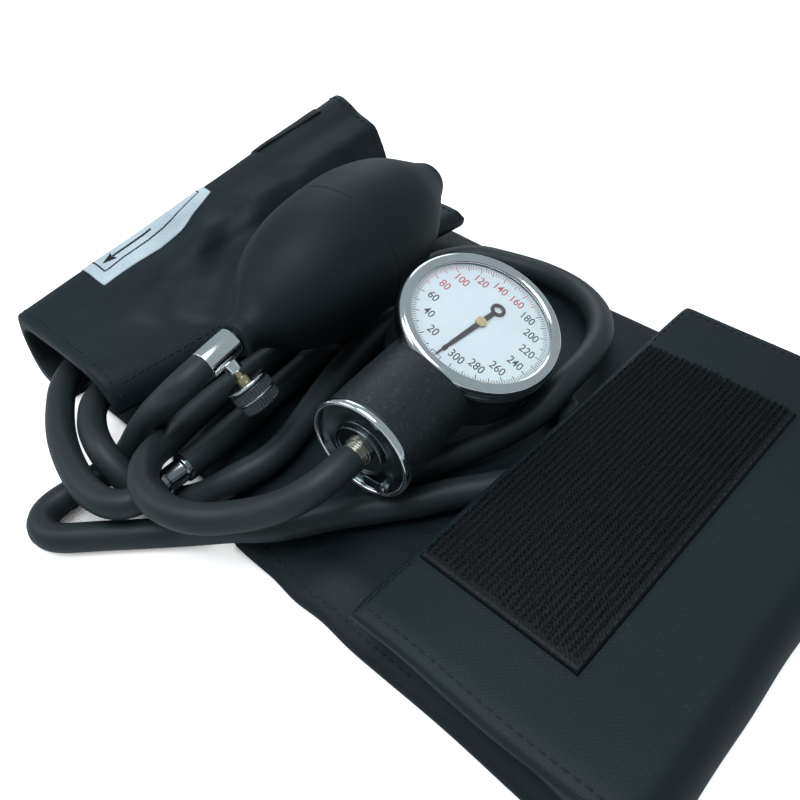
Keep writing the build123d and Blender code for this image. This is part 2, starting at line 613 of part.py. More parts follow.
for i in range(3):
    inlet_barb += ring(3.6, 1.2, hub_floor + 1.0 + i * 0.8, hub_floor + 1.4 + i * 0.8)
inlet_barb = barrel_line * inlet_barb
inlet_barb += ribbed_barb(Plane(origin=(0, collar_y, barrel_axis_z), z_dir=(0, -1, 0)), 6.0)
screw_place = lug_place * Pos(2.2, 0, lug_height)
end_plate_screw = screw_place * disc(1.4, 0, 0.8)
end_plate_screw -= screw_place * Pos(0, 0, 0.8) * Box(0.4, 5, 0.8)
bellows_points = [(0, -bellows_high, 0)]
ridge_count = 7
ridge = (bellows_high - bellows_low) / ridge_count
for i in range(ridge_count):
    start = -bellows_high + i * ridge
    bellows_points += [(8.4, start + 0.1, 0), (10.2, start + ridge / 2, 0)]
bellows_points += [(8.4, -bellows_low - 0.1, 0), (8.4, -barrel_end_y, 0), (0, -barrel_end_y, 0)]
bellows = turn_over * revolve(make_face(Polyline(*bellows_points, close=True)), spin)
bellows_core = [(0, -bellows_high + 0.4, 0)]
for i in range(ridge_count):
    start = -bellows_high + i * ridge
    bellows_core += [(8.0, start + 0.4, 0), (9.8, start + ridge / 2, 0)]
bellows_core += [(8.0, -bellows_low - 0.3, 0), (8.0, -barrel_end_y + 1, 0), (0, -barrel_end_y + 1, 0)]
bellows -= turn_over * revolve(make_face(Polyline(*bellows_core, close=True)), spin)

# Spring clip under the case
clip_width = 11.0
clip_gap = 2.4
clip_foot = case_back - 1.0
clip_outline = [
    (-9, case_back), (-9, clip_foot), (5, clip_foot - clip_gap), (15, clip_foot - clip_gap - 0.8),
    (19, clip_foot - 1.2), (19, clip_foot - 0.2), (14.6, clip_foot - clip_gap + 0.3),
    (5, clip_foot - clip_gap + 1.0), (-4, case_back),
]
clip_face = make_face(Polyline(*[(x, -clip_width / 2, z) for x, z in clip_outline], close=True))
gauge_clip = extrude(clip_face, clip_width, dir=(0, 1, 0))
gauge_clip = Rot(0, 0, 180) * gauge_clip

gauge_solids = {
    "gauge_case": gauge_case,
    "bezel_ring": bezel_ring,
    "crystal_lens": crystal_lens,
    "dial_plate": dial_plate,
    "pointer": pointer,
    "pointer_hub": pointer_hub,
    "pinion_shaft": pinion_shaft,
    "sector_gear": sector_gear,
    "push_rod": push_rod,
    "front_plate": front_plate,
    "back_plate": back_plate,
    "hairspring": hairspring,
    "gauge_barrel": gauge_barrel,
    "barrel_end_ring": barrel_end_ring,
    "barrel_end_plate": barrel_end_plate,
    "inlet_barb": inlet_barb,
    "end_plate_screw": end_plate_screw,
    "bellows": bellows,
    "gauge_clip": gauge_clip,
    "movement_posts": Compound(children=movement_posts),
    "movement_screws": Compound(children=movement_screws),
}
solids = {
    "cuff_base": cuff_base,
    "cuff_left_flap": cuff_left_flap,
    "cuff_right_fold": cuff_right_fold,
    "hook_patch": hook_patch,
    "artery_label": artery_label,
    "woven_tag": woven_tag,
    "bladder": bladder,
    "gauge_hose": gauge_hose,
    "bulb_hose": bulb_hose,
    "cuff_tube": cuff_tube,
    "tube_connector": tube_connector,
    "bulb_shell": bulb_shell,
    "end_valve_body": end_valve_body,
    "check_ball": check_ball,
    "inlet_filter": inlet_filter,
    "valve_body": valve_body,
    "valve_needle": valve_needle,
    "needle_seal": needle_seal,
    "knob_ring": knob_ring,
    "valve_knob": valve_knob,
}
for name, solid in gauge_solids.items():
    solids[name] = place * solid
for name, solid in solids.items():
    export_step(solid, f"parts/{name}.step")

print("pointer axis at", gauge_frame.origin, "sector axis at", place * Pos(sector_x, sector_y, 0))
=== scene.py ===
import math

import bpy
import numpy as np
from mathutils import Matrix, Vector


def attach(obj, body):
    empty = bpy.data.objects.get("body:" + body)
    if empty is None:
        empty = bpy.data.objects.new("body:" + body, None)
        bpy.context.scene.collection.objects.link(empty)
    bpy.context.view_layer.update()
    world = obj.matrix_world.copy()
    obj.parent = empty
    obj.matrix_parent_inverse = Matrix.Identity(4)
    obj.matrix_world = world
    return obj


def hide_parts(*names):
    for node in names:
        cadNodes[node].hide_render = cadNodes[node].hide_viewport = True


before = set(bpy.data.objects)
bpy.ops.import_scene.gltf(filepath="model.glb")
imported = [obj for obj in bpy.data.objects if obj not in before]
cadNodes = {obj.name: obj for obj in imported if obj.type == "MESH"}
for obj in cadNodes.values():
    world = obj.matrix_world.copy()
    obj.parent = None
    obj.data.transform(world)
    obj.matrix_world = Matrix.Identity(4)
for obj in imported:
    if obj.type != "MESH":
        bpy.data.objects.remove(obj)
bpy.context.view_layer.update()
bodyMain = "cuff_set"
print("frame loaded,", len(cadNodes), "nodes")


def placeInScene(name, data):
    made = bpy.data.objects.new(name, data)
    bpy.context.scene.collection.objects.link(made)
    return made


# Camera: where the photographer stood, over the near right corner of the cuff
camera = {
    "place": (0.130, -0.1345, 0.185),
    "right": (0.7199, 0.6913, -0.0614),
    "up": (-0.4450, 0.5276, 0.7236),
    "back": (0.5327, -0.4936, 0.6875),
    "lens": 36.63, "sensor": 36.0, "nearest": 0.01,
}
cameraData = bpy.data.cameras.new("photoCamera")
cameraData.lens = camera["lens"]
cameraData.sensor_width = camera["sensor"]
cameraData.clip_start = camera["nearest"]
photoCamera = placeInScene("photoCamera", cameraData)
cameraTurn = Matrix((camera["right"], camera["up"], camera["back"])).transposed()
photoCamera.matrix_world = Matrix.Translation(camera["place"]) @ cameraTurn.to_4x4()
bpy.context.scene.camera = photoCamera
print("camera placed")


# Shader helpers
def addNode(tree, kind, settings=None, **inputs):
    made = tree.nodes.new(kind)
    for key, value in (settings or {}).items():
        setattr(made, key, value)
    for key, value in inputs.items():
        socket = made.inputs[int(key[1:])] if key[1:].isdigit() else made.inputs[key.replace("_", " ")]
        if isinstance(value, bpy.types.NodeSocket):
            tree.links.new(value, socket)
        else:
            socket.default_value = value
    return made


def calculate(tree, operation, first, second=0.0):
    return addNode(tree, "ShaderNodeMath", {"operation": operation}, i0=first, i1=second).outputs[0]


def noiseOn(tree, vector, scale, detail, **more):
    return addNode(
        tree, "ShaderNodeTexNoise", None, Vector=vector, Scale=scale, Detail=detail, **more
    ).outputs["Fac"]


def spreadOut(tree, value, **ends):
    return addNode(tree, "ShaderNodeMapRange", None, Value=value, **ends).outputs["Result"]


def mixColors(tree, share, first, second):
    return addNode(tree, "ShaderNodeMix", {"data_type": "RGBA"}, i0=share, i6=first, i7=second).outputs[2]


def bumpFrom(tree, height, strength, distance, **more):
    return addNode(
        tree, "ShaderNodeBump", None, Strength=strength, Distance=distance, Height=height, **more
    ).outputs[0]


def objectPlace(tree):
    return addNode(tree, "ShaderNodeTexCoord").outputs["Object"]


def newGroup(name, inputs, outputs):
    tree = bpy.data.node_groups.new(name, "ShaderNodeTree")
    for label, kind, value in [("Vector", "Vector", None), *inputs]:
        socket = tree.interface.new_socket(label, in_out="INPUT", socket_type="NodeSocket" + kind)
        if value is not None:
            socket.default_value = value
    for label, kind in outputs:
        tree.interface.new_socket(label, in_out="OUTPUT", socket_type="NodeSocket" + kind)
    return tree, tree.nodes.new("NodeGroupInput").outputs, tree.nodes.new("NodeGroupOutput").inputs


def giveOut(tree, out, **results):
    for label, socket in results.items():
        tree.links.new(socket, out[label])
    return tree


def makeToneGroup():
    # soft patches of lighter and darker tone
    tree, given, out = newGroup(
        "toneVariation",
        [("Color", "Color", (0.5, 0.5, 0.5, 1)), ("Scale", "Float", 40.0), ("Amount", "Float", 0.15)],
        [("Color", "Color"), ("Mask", "Float")],
    )
    patches = noiseOn(tree, given["Vector"], given["Scale"], detail=4.0)
    low = calculate(tree, "SUBTRACT", 1.0, given["Amount"])
    high = calculate(tree, "ADD", 1.0, given["Amount"])
    tone = spreadOut(tree, patches, From_Min=0.32, From_Max=0.68, To_Min=low, To_Max=high)
    scaled = addNode(tree, "ShaderNodeVectorMath", {"operation": "SCALE"}, i0=given["Color"], Scale=tone)
    return giveOut(tree, out, Color=scaled.outputs[0], Mask=patches)


def makeGrainGroup():
    # fine moulded or painted grain, as a height and a mask of its tops
    tree, given, out = newGroup(
        "surfaceGrain", [("Scale", "Float", 900.0), ("Coarse", "Float", 0.3)],
        [("Height", "Float"), ("Tops", "Float")],
    )
    fine = noiseOn(tree, given["Vector"], given["Scale"], detail=3.0)
    wide = noiseOn(
        tree, given["Vector"], calculate(tree, "MULTIPLY", given["Scale"], given["Coarse"]), detail=2.0
    )
    height = calculate(tree, "MULTIPLY", calculate(tree, "ADD", fine, wide), 0.5)
    return giveOut(tree, out, Height=height, Tops=spreadOut(tree, height, From_Min=0.52, From_Max=0.66))


def makeTwillGroup():
    # diagonal ribs of a fine twill, cut into single threads, with a mask of painted shade in the valleys
    # between them
    tree, given, out = newGroup(
        "twillWeave", [("Ribs", "Float", 1500.0)], [("Height", "Float"), ("Valley", "Float")]
    )
    parts = addNode(tree, "ShaderNodeSeparateXYZ", None, Vector=given["Vector"])
    across = calculate(tree, "ADD", parts.outputs["X"], parts.outputs["Y"])
    along = calculate(tree, "SUBTRACT", parts.outputs["X"], parts.outputs["Y"])
    ribTurns = calculate(tree, "MULTIPLY", given["Ribs"], 2 * math.pi)
    threadTurns = calculate(tree, "MULTIPLY", ribTurns, 0.6)
    rib = calculate(tree, "SINE", calculate(tree, "MULTIPLY", across, ribTurns))
    thread = calculate(tree, "SINE", calculate(tree, "MULTIPLY", along, threadTurns))
    ribPart, threadPart = calculate(tree, "MULTIPLY", rib, 0.35), calculate(tree, "MULTIPLY", thread, 0.15)
    height = calculate(tree, "ADD", calculate(tree, "ADD", ribPart, threadPart), 0.5)
    valleyShade = spreadOut(tree, height, From_Min=0.0, From_Max=0.45, To_Min=1.0, To_Max=0.0)
    return giveOut(tree, out, Height=height, Valley=valleyShade)


def makeDustGroup():
    # pale dust and lint that settles in small specks
    tree, given, out = newGroup(
        "dustSpecks",
        [("Color", "Color", (0.5, 0.5, 0.5, 1)), ("Scale", "Float", 700.0), ("Amount", "Float", 0.2)],
        [("Color", "Color"), ("Mask", "Float")],
    )
    fine = noiseOn(tree, given["Vector"], given["Scale"], detail=2.0)
    wide = noiseOn(tree, given["Vector"], 35.0, detail=2.0)
    specks = spreadOut(tree, fine, From_Min=0.66, From_Max=0.74)
    patches = spreadOut(tree, wide, From_Min=0.45, From_Max=0.65)
    mask = calculate(tree, "MULTIPLY", calculate(tree, "MULTIPLY", specks, patches), given["Amount"])
    return giveOut(tree, out, Color=mixColors(tree, mask, given["Color"], (0.35, 0.37, 0.38, 1)), Mask=mask)


def makeScratchGroup():
    # hairline marks and faint smears of handled metal
    tree, given, out = newGroup(
        "handledMetal",
        [("Roughness", "Float", 0.1), ("Smear", "Float", 0.08), ("Stretch", "Vector", (400.0, 400.0, 30.0))],
        [("Roughness", "Float"), ("Height", "Float")],
    )
    stretched = addNode(
        tree, "ShaderNodeVectorMath", {"operation": "MULTIPLY"}, i0=given["Vector"], i1=given["Stretch"]
    ).outputs[0]
    smear = calculate(tree, "MULTIPLY", noiseOn(tree, given["Vector"], 120.0, detail=3.0), given["Smear"])
    roughness = calculate(tree, "ADD", given["Roughness"], smear)
    return giveOut(tree, out, Roughness=roughness, Height=noiseOn(tree, stretched, 6.0, detail=3.0))


groups = {
    "tone": makeToneGroup(), "grain": makeGrainGroup(), "twill": makeTwillGroup(), "dust": makeDustGroup(),
    "metal": makeScratchGroup(),
}


def useGroup(tree, name, **inputs):
    return addNode(tree, "ShaderNodeGroup", {"node_tree": groups[name]}, **inputs).outputs


def toneOf(tree, place, look, scale, amount):
    return useGroup(tree, "tone", Vector=place, Color=(*look["color"], 1), Scale=scale, Amount=amount)


def startMaterial(name, color, roughness, **sockets):
    made = bpy.data.materials.new(name)
    made.use_nodes = True
    tree = made.node_tree
    shader = tree.nodes["Principled BSDF"]
    shader.inputs["Base Color"].default_value = (*color, 1)
    shader.inputs["Roughness"].default_value = roughness
    for key, value in sockets.items():
        shader.inputs[key.replace("_", " ")].default_value = value
    return made, tree, shader


def clothMaterial(name, look):
    made, tree, shader = startMaterial(
        name, look["color"], look["roughness"], Specular_IOR_Level=look["specular"]
    )
    weaveAt = addNode(tree, "ShaderNodeUVMap", {"uv_map": "weave"}).outputs["UV"]
    place = objectPlace(tree)
    tone = toneOf(tree, place, look, look["patch"], look["patchAmount"])
    twill = useGroup(tree, "twill", Vector=weaveAt, Ribs=look["ribs"])
    # painted shade: the weave's valleys are darkened towards a third of the cloth's colour
    valleyShade = calculate(tree, "MULTIPLY", twill["Valley"], look["valleyShade"])
    dark = mixColors(tree, valleyShade, tone["Color"], (*[c * 0.35 for c in look["color"]], 1))
    dusty = useGroup(tree, "dust", Vector=place, Color=dark, Scale=950.0, Amount=look["dust"])
    tree.links.new(dusty["Color"], shader.inputs["Base Color"])
    creases = noiseOn(tree, place, look["crease"], detail=4.0, Distortion=0.6)
    low = bumpFrom(tree, creases, look["creaseDepth"], distance=0.0012)
    bump = bumpFrom(tree, twill["Height"], look["weaveDepth"], distance=0.0001, Normal=low)
    tree.links.new(bump, shader.inputs["Normal"])
    return made


def rubberMaterial(name, look):
    made, tree, shader = startMaterial(
        name, look["color"], look["roughness"], Specular_IOR_Level=look["specular"]
    )
    place = objectPlace(tree)
    tone = toneOf(tree, place, look, look["patch"], look["patchAmount"])
    dusty = useGroup(tree, "dust", Vector=place, Color=tone["Color"], Scale=1200.0, Amount=look["dust"])
    tree.links.new(dusty["Color"], shader.inputs["Base Color"])
    grain = useGroup(tree, "grain", Vector=place, Scale=look["grain"], Coarse=0.25)
    rough = spreadOut(tree, tone["Mask"], To_Min=look["roughness"] - 0.07, To_Max=look["roughness"] + 0.07)
    tree.links.new(rough, shader.inputs["Roughness"])
    tree.links.new(
        bumpFrom(tree, grain["Height"], look["grainDepth"], distance=0.00012), shader.inputs["Normal"]
    )
    return made


def metalMaterial(name, look):
    made, tree, shader = startMaterial(name, look["color"], look["roughness"], Metallic=1.0)
    place = objectPlace(tree)
    marks = useGroup(
        tree, "metal", Vector=place, Roughness=look["roughness"], Smear=look["smear"], Stretch=look["stretch"]
    )
    tone = toneOf(tree, place, look, 90.0, look["tarnish"])
    tree.links.new(tone["Color"], shader.inputs["Base Color"])
    tree.links.new(marks["Roughness"], shader.inputs["Roughness"])
    tree.links.new(bumpFrom(tree, marks["Height"], look["brush"], distance=0.00005), shader.inputs["Normal"])
    return made


def paintMaterial(name, look):
    made, tree, shader = startMaterial(
        name, look["color"], look["roughness"], Coat_Weight=look["coat"], Coat_Roughness=0.12
    )
    place = objectPlace(tree)
    grain = useGroup(tree, "grain", Vector=place, Scale=look["grain"], Coarse=0.4)
    tone = toneOf(tree, place, look, 60.0, look["patchAmount"])
    # the grain's tops take a lighter colour, by the share given as tops
    grainTopColor = (*[min(1.0, c * 2.2 + 0.01) for c in look["color"]], 1)
    tops = mixColors(tree, calculate(tree, "MULTIPLY", grain["Tops"], look["tops"]), tone["Color"], grainTopColor)
    tree.links.new(tops, shader.inputs["Base Color"])
    tree.links.new(
        bumpFrom(tree, grain["Height"], look["grainDepth"], distance=0.0002), shader.inputs["Normal"]
    )
    return made


# Usual look of each kind of surface; a finish names only what differs from it
clothLook = {
    "color": (0.011, 0.019, 0.024), "roughness": 0.50, "specular": 0.28, "patch": 18.0,
    "patchAmount": 0.18, "ribs": 1400.0, "valleyShade": 0.45, "dust": 0.10, "crease": 22.0, "creaseDepth": 0.35,
    "weaveDepth": 0.5,
}
rubberLook = {
    "roughness": 0.46, "specular": 0.35, "patch": 45.0, "patchAmount": 0.12, "dust": 0.08, "grain": 1500.0,
    "grainDepth": 0.18,
}
metalLook = {"smear": 0.12, "stretch": (500.0, 500.0, 500.0), "tarnish": 0.10, "brush": 0.05}
chromeLook = {"smear": 0.10, "stretch": (300.0, 300.0, 300.0)}
paintLook = {
    "roughness": 0.5, "coat": 0.0, "grain": 900.0, "grainDepth": 0.05, "patchAmount": 0.1, "tops": 0.0,
}
clothFinishes = {
    "cuffCloth": {},
    "clothInside": {"color": (0.010, 0.012, 0.014), "roughness": 0.8},
    "hookGround": {"color": (0.003, 0.004, 0.005), "ribs": 800.0, "valleyShade": 0.8, "dust": 0.03},
    "labelCloth": {
        "color": (0.80, 0.90, 0.95), "roughness": 0.7, "patch": 60.0, "patchAmount": 0.10, "ribs": 1100.0,
        "valleyShade": 0.35, "dust": 0.0, "creaseDepth": 0.2,
    },
    "labelPrint": {"color": (0.014, 0.017, 0.022), "dust": 0.0},
    "tagCloth": {"color": (0.011, 0.013, 0.015), "ribs": 700.0, "valleyShade": 0.6},
    "seamThread": {"color": (0.030, 0.036, 0.042), "ribs": 2500.0},
}
rubberFinishes = {
    "hookNylon": {
        "color": (0.004, 0.006, 0.008), "roughness": 0.5, "specular": 0.2, "patch": 150.0, "patchAmount": 0.3,
        "dust": 0.0, "grain": 900.0, "grainDepth": 0.1,
    },
    "hoseRubber": {"color": (0.031, 0.039, 0.043)},
    "bulbRubber": {
        "color": (0.012, 0.017, 0.021), "roughness": 0.56, "specular": 0.28, "patch": 30.0,
        "patchAmount": 0.15, "dust": 0.07, "grain": 1300.0, "grainDepth": 0.25,
    },
    "bladderRubber": {
        "color": (0.03, 0.03, 0.034), "roughness": 0.6, "specular": 0.3, "patch": 30.0, "patchAmount": 0.15,
        "dust": 0.1, "grain": 900.0, "grainDepth": 0.3,
    },
}
metalFinishes = {
    "chromePlate": {
        **chromeLook, "color": (0.86, 0.90, 0.90), "roughness": 0.08, "tarnish": 0.05, "brush": 0.03,
    },
    # painted reflection: darker copies of the chrome, whose lowered colour stands for the dark surroundings
    # that the chrome connector, end plate, lug and screw mirror
    "shadedChrome": {**chromeLook, "color": (0.34, 0.36, 0.38), "roughness": 0.12},
    "deepShadedChrome": {**chromeLook, "color": (0.15, 0.17, 0.18), "roughness": 0.14},
    "brassTurned": {
        "color": (0.62, 0.54, 0.30), "roughness": 0.22, "smear": 0.15, "stretch": (60.0, 60.0, 900.0),
        "tarnish": 0.15, "brush": 0.12,
    },
    "steelBrushed": {
        "color": (0.56, 0.57, 0.58), "roughness": 0.25, "stretch": (50.0, 900.0, 900.0), "tarnish": 0.08,
        "brush": 0.12,
    },
    "barbSteel": {"color": (0.60, 0.56, 0.50), "roughness": 0.16, "tarnish": 0.12, "brush": 0.08},
    "knobSteel": {"color": (0.13, 0.145, 0.155), "roughness": 0.30, "tarnish": 0.2, "brush": 0.1},
}
paintFinishes = {
    "caseBlack": {
        "color": (0.012, 0.013, 0.015), "roughness": 0.32, "coat": 0.4, "grain": 1200.0, "grainDepth": 0.08,
        "tops": 0.1,
    },
    "barrelWrinkle": {
        "color": (0.013, 0.018, 0.021), "roughness": 0.48, "grain": 1500.0, "grainDepth": 1.0, "tops": 0.9,
    },
    "dialPaint": {"color": (0.85, 0.97, 1.0), "grain": 700.0, "grainDepth": 0.03, "patchAmount": 0.03},
    "scaleBlack": {"color": (0.02, 0.03, 0.05)},
    "scaleRed": {"color": (0.60, 0.06, 0.08)},
    "pointerBlack": {"color": (0.014, 0.015, 0.017), "roughness": 0.35, "coat": 0.2},
    "valvePlastic": {
        "color": (0.012, 0.013, 0.014), "roughness": 0.45, "grain": 800.0, "grainDepth": 0.2, "tops": 0.1,
    },
}
finishes = {}
for makeKind, usualLook, table in [
    (clothMaterial, clothLook, clothFinishes), (rubberMaterial, rubberLook, rubberFinishes),
    (metalMaterial, metalLook, metalFinishes), (paintMaterial, paintLook, paintFinishes),
]:
    for finishName, changes in table.items():
        finishes[finishName] = makeKind(finishName, {**usualLook, **changes})
lensGlass, lensTree, lensShader = startMaterial(
    "lensGlass", (0.97, 0.98, 1.0), 0.02, IOR=1.45, Transmission_Weight=1.0
)
lensMarks = useGroup(lensTree, "grain", Vector=objectPlace(lensTree), Scale=250.0, Coarse=0.3)
lensRough = spreadOut(lensTree, lensMarks["Tops"], To_Min=0.01, To_Max=0.05)
lensTree.links.new(lensRough, lensShader.inputs["Roughness"])
finishes["lensGlass"] = lensGlass
print("materials made:", len(finishes))


# Mesh helpers; lengths are given in millimetres and stored in metres
def addPiece(
    name, points, faces, finish, body=bodyMain, weave=None, faceFinish=None, extraFinishes=(), smooth=True
):
    mesh = bpy.data.meshes.new(name)
    mesh.from_pydata((np.asarray(points, float) / 1000).tolist(), [], [list(f) for f in faces])
    mesh.polygons.foreach_set("use_smooth", [smooth] * len(mesh.polygons))
    for label in [finish, *extraFinishes]:
        mesh.materials.append(finishes[label])
    if faceFinish is not None:
        mesh.polygons.foreach_set("material_index", list(faceFinish))
    if weave is not None:
        corners = np.zeros(len(mesh.loops), int)
        mesh.loops.foreach_get("vertex_index", corners)
        layer = mesh.uv_layers.new(name="weave")
        layer.data.foreach_set("uv", (np.asarray(weave, float)[corners] / 1000).ravel())
    mesh.validate()
    mesh.update()
    piece = placeInScene(name, mesh)
    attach(piece, body)
    return piece


def gridFaces(rows, columns, first=0, closed=False, flip=False):
    faces = []
    for r in range(rows - 1):
        for c in range(columns if closed else columns - 1):
            a = first + r * columns + c
            b = first + r * columns + (c + 1) % columns
            face = (a, b, b + columns, a + columns)
            faces.append(face[::-1] if flip else face)
    return faces


def sheetFaces(rows, columns):
    # two faces of a sheet, the second half of the points under the first, joined along the edges
    half, last = rows * columns, (rows - 1) * columns
    faces = gridFaces(rows, columns) + gridFaces(rows, columns, half, flip=True)
    for c in range(columns - 1):
        faces.append((c + 1, c, half + c, half + c + 1))
        faces.append((last + c, last + c + 1, half + last + c + 1, half + last + c))
    for r in range(rows - 1):
        a, b = r * columns, (r + 1) * columns
        faces.append((a, b, half + b, half + a))
        faces.append((b + columns - 1, a + columns - 1, half + a + columns - 1, half + b + columns - 1))
    return faces


def readTable(table, at):
    # value of a table of (place, value) rows at a place between them
    return np.interp(at, *np.array(table, float).T)


def pointAlong(at, line, where):
    # the point of a line at a measured place
    return np.array([np.interp(where, at, column) for column in np.array(line).T])


def sameWay(line, direction):
    # one normal for every point of a line
    return np.tile(direction, (len(line), 1))


def addTube(name, places, radius, finish, steps):
    # a round tube along a smooth spline; places in millimetres, radius in metres
    line = bpy.data.curves.new(name, "CURVE")
    line.dimensions = "3D"
    line.bevel_depth = radius
    line.bevel_resolution = 6
    line.resolution_u = steps
    line.use_fill_caps = True
    spline = line.splines.new("NURBS")
    spline.points.add(len(places) - 1)
    for point, place in zip(spline.points, places):
        point.co = (*[value / 1000 for value in place], 1)
    spline.order_u = 3
    spline.use_endpoint_u = True
    line.materials.append(finishes[finish])
    return placeInScene(name, line)


def throughPoints(points, count):
    # an even, smooth line through the given points
    p = np.array(points, float)
    at = np.r_[0, np.cumsum(np.linalg.norm(np.diff(p, axis=0), axis=1))]
    slope = np.gradient(p, at, axis=0)
    t = np.linspace(0, at[-1], count)
    i = np.clip(np.searchsorted(at, t, "right") - 1, 0, len(at) - 2)
    h = (at[i + 1] - at[i])[:, None]
    s = (t - at[i])[:, None] / h
    return (
        (2 * s**3 - 3 * s**2 + 1) * p[i] + (s**3 - 2 * s**2 + s) * h * slope[i]
        + (3 * s**2 - 2 * s**3) * p[i + 1] + (s**3 - s**2) * h * slope[i + 1]
    )


# Knurled grip: how deep, how many ridges, how sharp, and how soft each band's ends are
knurl = {"depth": 0.42, "ridges": 18, "sharpness": 0.6, "ease": 0.25, "beyond": 5}


def turned(name, profile, place, finish, body=bodyMain, segments=96, bands=()):
    # profile of (radius, height) turned about the place's own z axis
    profile = np.array(profile, float)
    following = np.roll(profile, -1, axis=0)
    if np.sum(profile[:, 0] * following[:, 1] - following[:, 0] * profile[:, 1]) < 0:
        profile = profile[::-1]
    angle = np.linspace(0, 2 * math.pi, segments, endpoint=False)
    ridges = knurl["depth"] * np.abs(np.sin(angle * knurl["ridges"])) ** knurl["sharpness"] - knurl["depth"]
    cut = np.zeros((len(profile), segments))
    for low, high in bands:
        above, below = (profile[:, 1] - low) / knurl["ease"], (high - profile[:, 1]) / knurl["ease"]
        cut += np.outer(np.clip(above, 0, 1) * np.clip(below, 0, 1), ridges)
    radii = profile[:, :1] + cut * (profile[:, :1] > knurl["beyond"])
    heights = np.repeat(profile[:, 1:], segments, axis=1)
    points = np.stack([radii * np.cos(angle), radii * np.sin(angle), heights], 2).reshape(-1, 3)
    turn, shift = place
    points = points @ np.asarray(turn).T + np.asarray(shift)
    faces = gridFaces(len(profile), segments, closed=True)
    return addPiece(name, points, faces, finish, body)


def frameOf(zAxis, origin, xHint=(1, 0, 0)):
    z = np.array(zAxis, float) / np.linalg.norm(zAxis)
    x = np.array(xHint, float) - z * np.dot(xHint, z)
    x /= np.linalg.norm(x)
    return np.array([x, np.cross(z, x), z]).T, np.array(origin, float)


def roundedCorners(points, radius, steps=4):
    # a profile whose corners are eased by a small radius
    p = np.array(points, float)
    out = [p[0]]
    for before, here, after in zip(p, p[1:], p[2:]):
        a, b = before - here, after - here
        cut = min(radius, 0.45 * np.linalg.norm(a), 0.45 * np.linalg.norm(b))
        start, end = here + a / np.linalg.norm(a) * cut, here + b / np.linalg.norm(b) * cut
        for s in np.linspace(0, 1, steps):
            out.append((1 - s) ** 2 * start + 2 * s * (1 - s) * here + s**2 * end)
    out.append(p[-1])
    return np.array(out)


# One raised stitch: its rings and the points round each, and shares of its thread's radius
sewn = {"rings": 5, "around": 6, "reach": 0.5, "endSize": 0.04, "arch": 0.5, "sink": 0.3}


def stitchRun(line, normals, look):
    # short raised stitches laid end to end along a line
    line, normals = np.array(line, float), np.array(normals, float)
    at = np.r_[0, np.cumsum(np.linalg.norm(np.diff(line, axis=0), axis=1))]
    points, faces, weave = [], [], []
    for middle in np.arange(look["pitch"] / 2, at[-1], look["pitch"]):
        here = pointAlong(at, line, middle)
        ahead = pointAlong(at, line, min(middle + sewn["reach"], at[-1]))
        back = pointAlong(at, line, max(middle - sewn["reach"], 0))
        up = pointAlong(at, normals, middle)
        up /= np.linalg.norm(up)
        tangent = (ahead - back) / np.linalg.norm(ahead - back)
        sideways = np.cross(up, tangent)
        first = len(points)
        for r in range(sewn["rings"]):
            s = r / (sewn["rings"] - 1) * 2 - 1
            centre = here + tangent * s * look["length"] / 2
            bulge = math.sqrt(max(sewn["endSize"], 1 - s * s)) * look["radius"]
            lift = (1 - s * s) * look["radius"] * sewn["arch"] - look["radius"] * sewn["sink"]
            for k in range(sewn["around"]):
                a = 2 * math.pi * k / sewn["around"]
                points.append(centre + sideways * math.cos(a) * bulge + up * (math.sin(a) * bulge + lift))
                weave.append((middle + s, a))
        faces += gridFaces(sewn["rings"], sewn["around"], first, closed=True)
    return points, faces, weave


def addStitches(name, runs, look):
    points, faces, weave = [], [], []
    for line, normals in runs:
        p, f, w = stitchRun(line, normals, look)
        faces += [tuple(i + len(points) for i in face) for face in f]
        points += p
        weave += w
    piece = addPiece(name, points, faces, "seamThread", weave=weave)
    return piece


def softWaves(x, y, seed, wavelength, count=7):
    # gentle unevenness of laid cloth, the same at every run
    picks = np.random.RandomState(seed)
    total = np.zeros(np.broadcast(x, y).shape)
    for _ in range(count):
        heading = picks.uniform(0, math.pi)
        length = wavelength * picks.uniform(0.7, 1.6)
        phase = picks.uniform(0, 2 * math.pi)
        total = total + np.sin((x * math.cos(heading) + y * math.sin(heading)) * 2 * math.pi / length + phase)
    return total / count


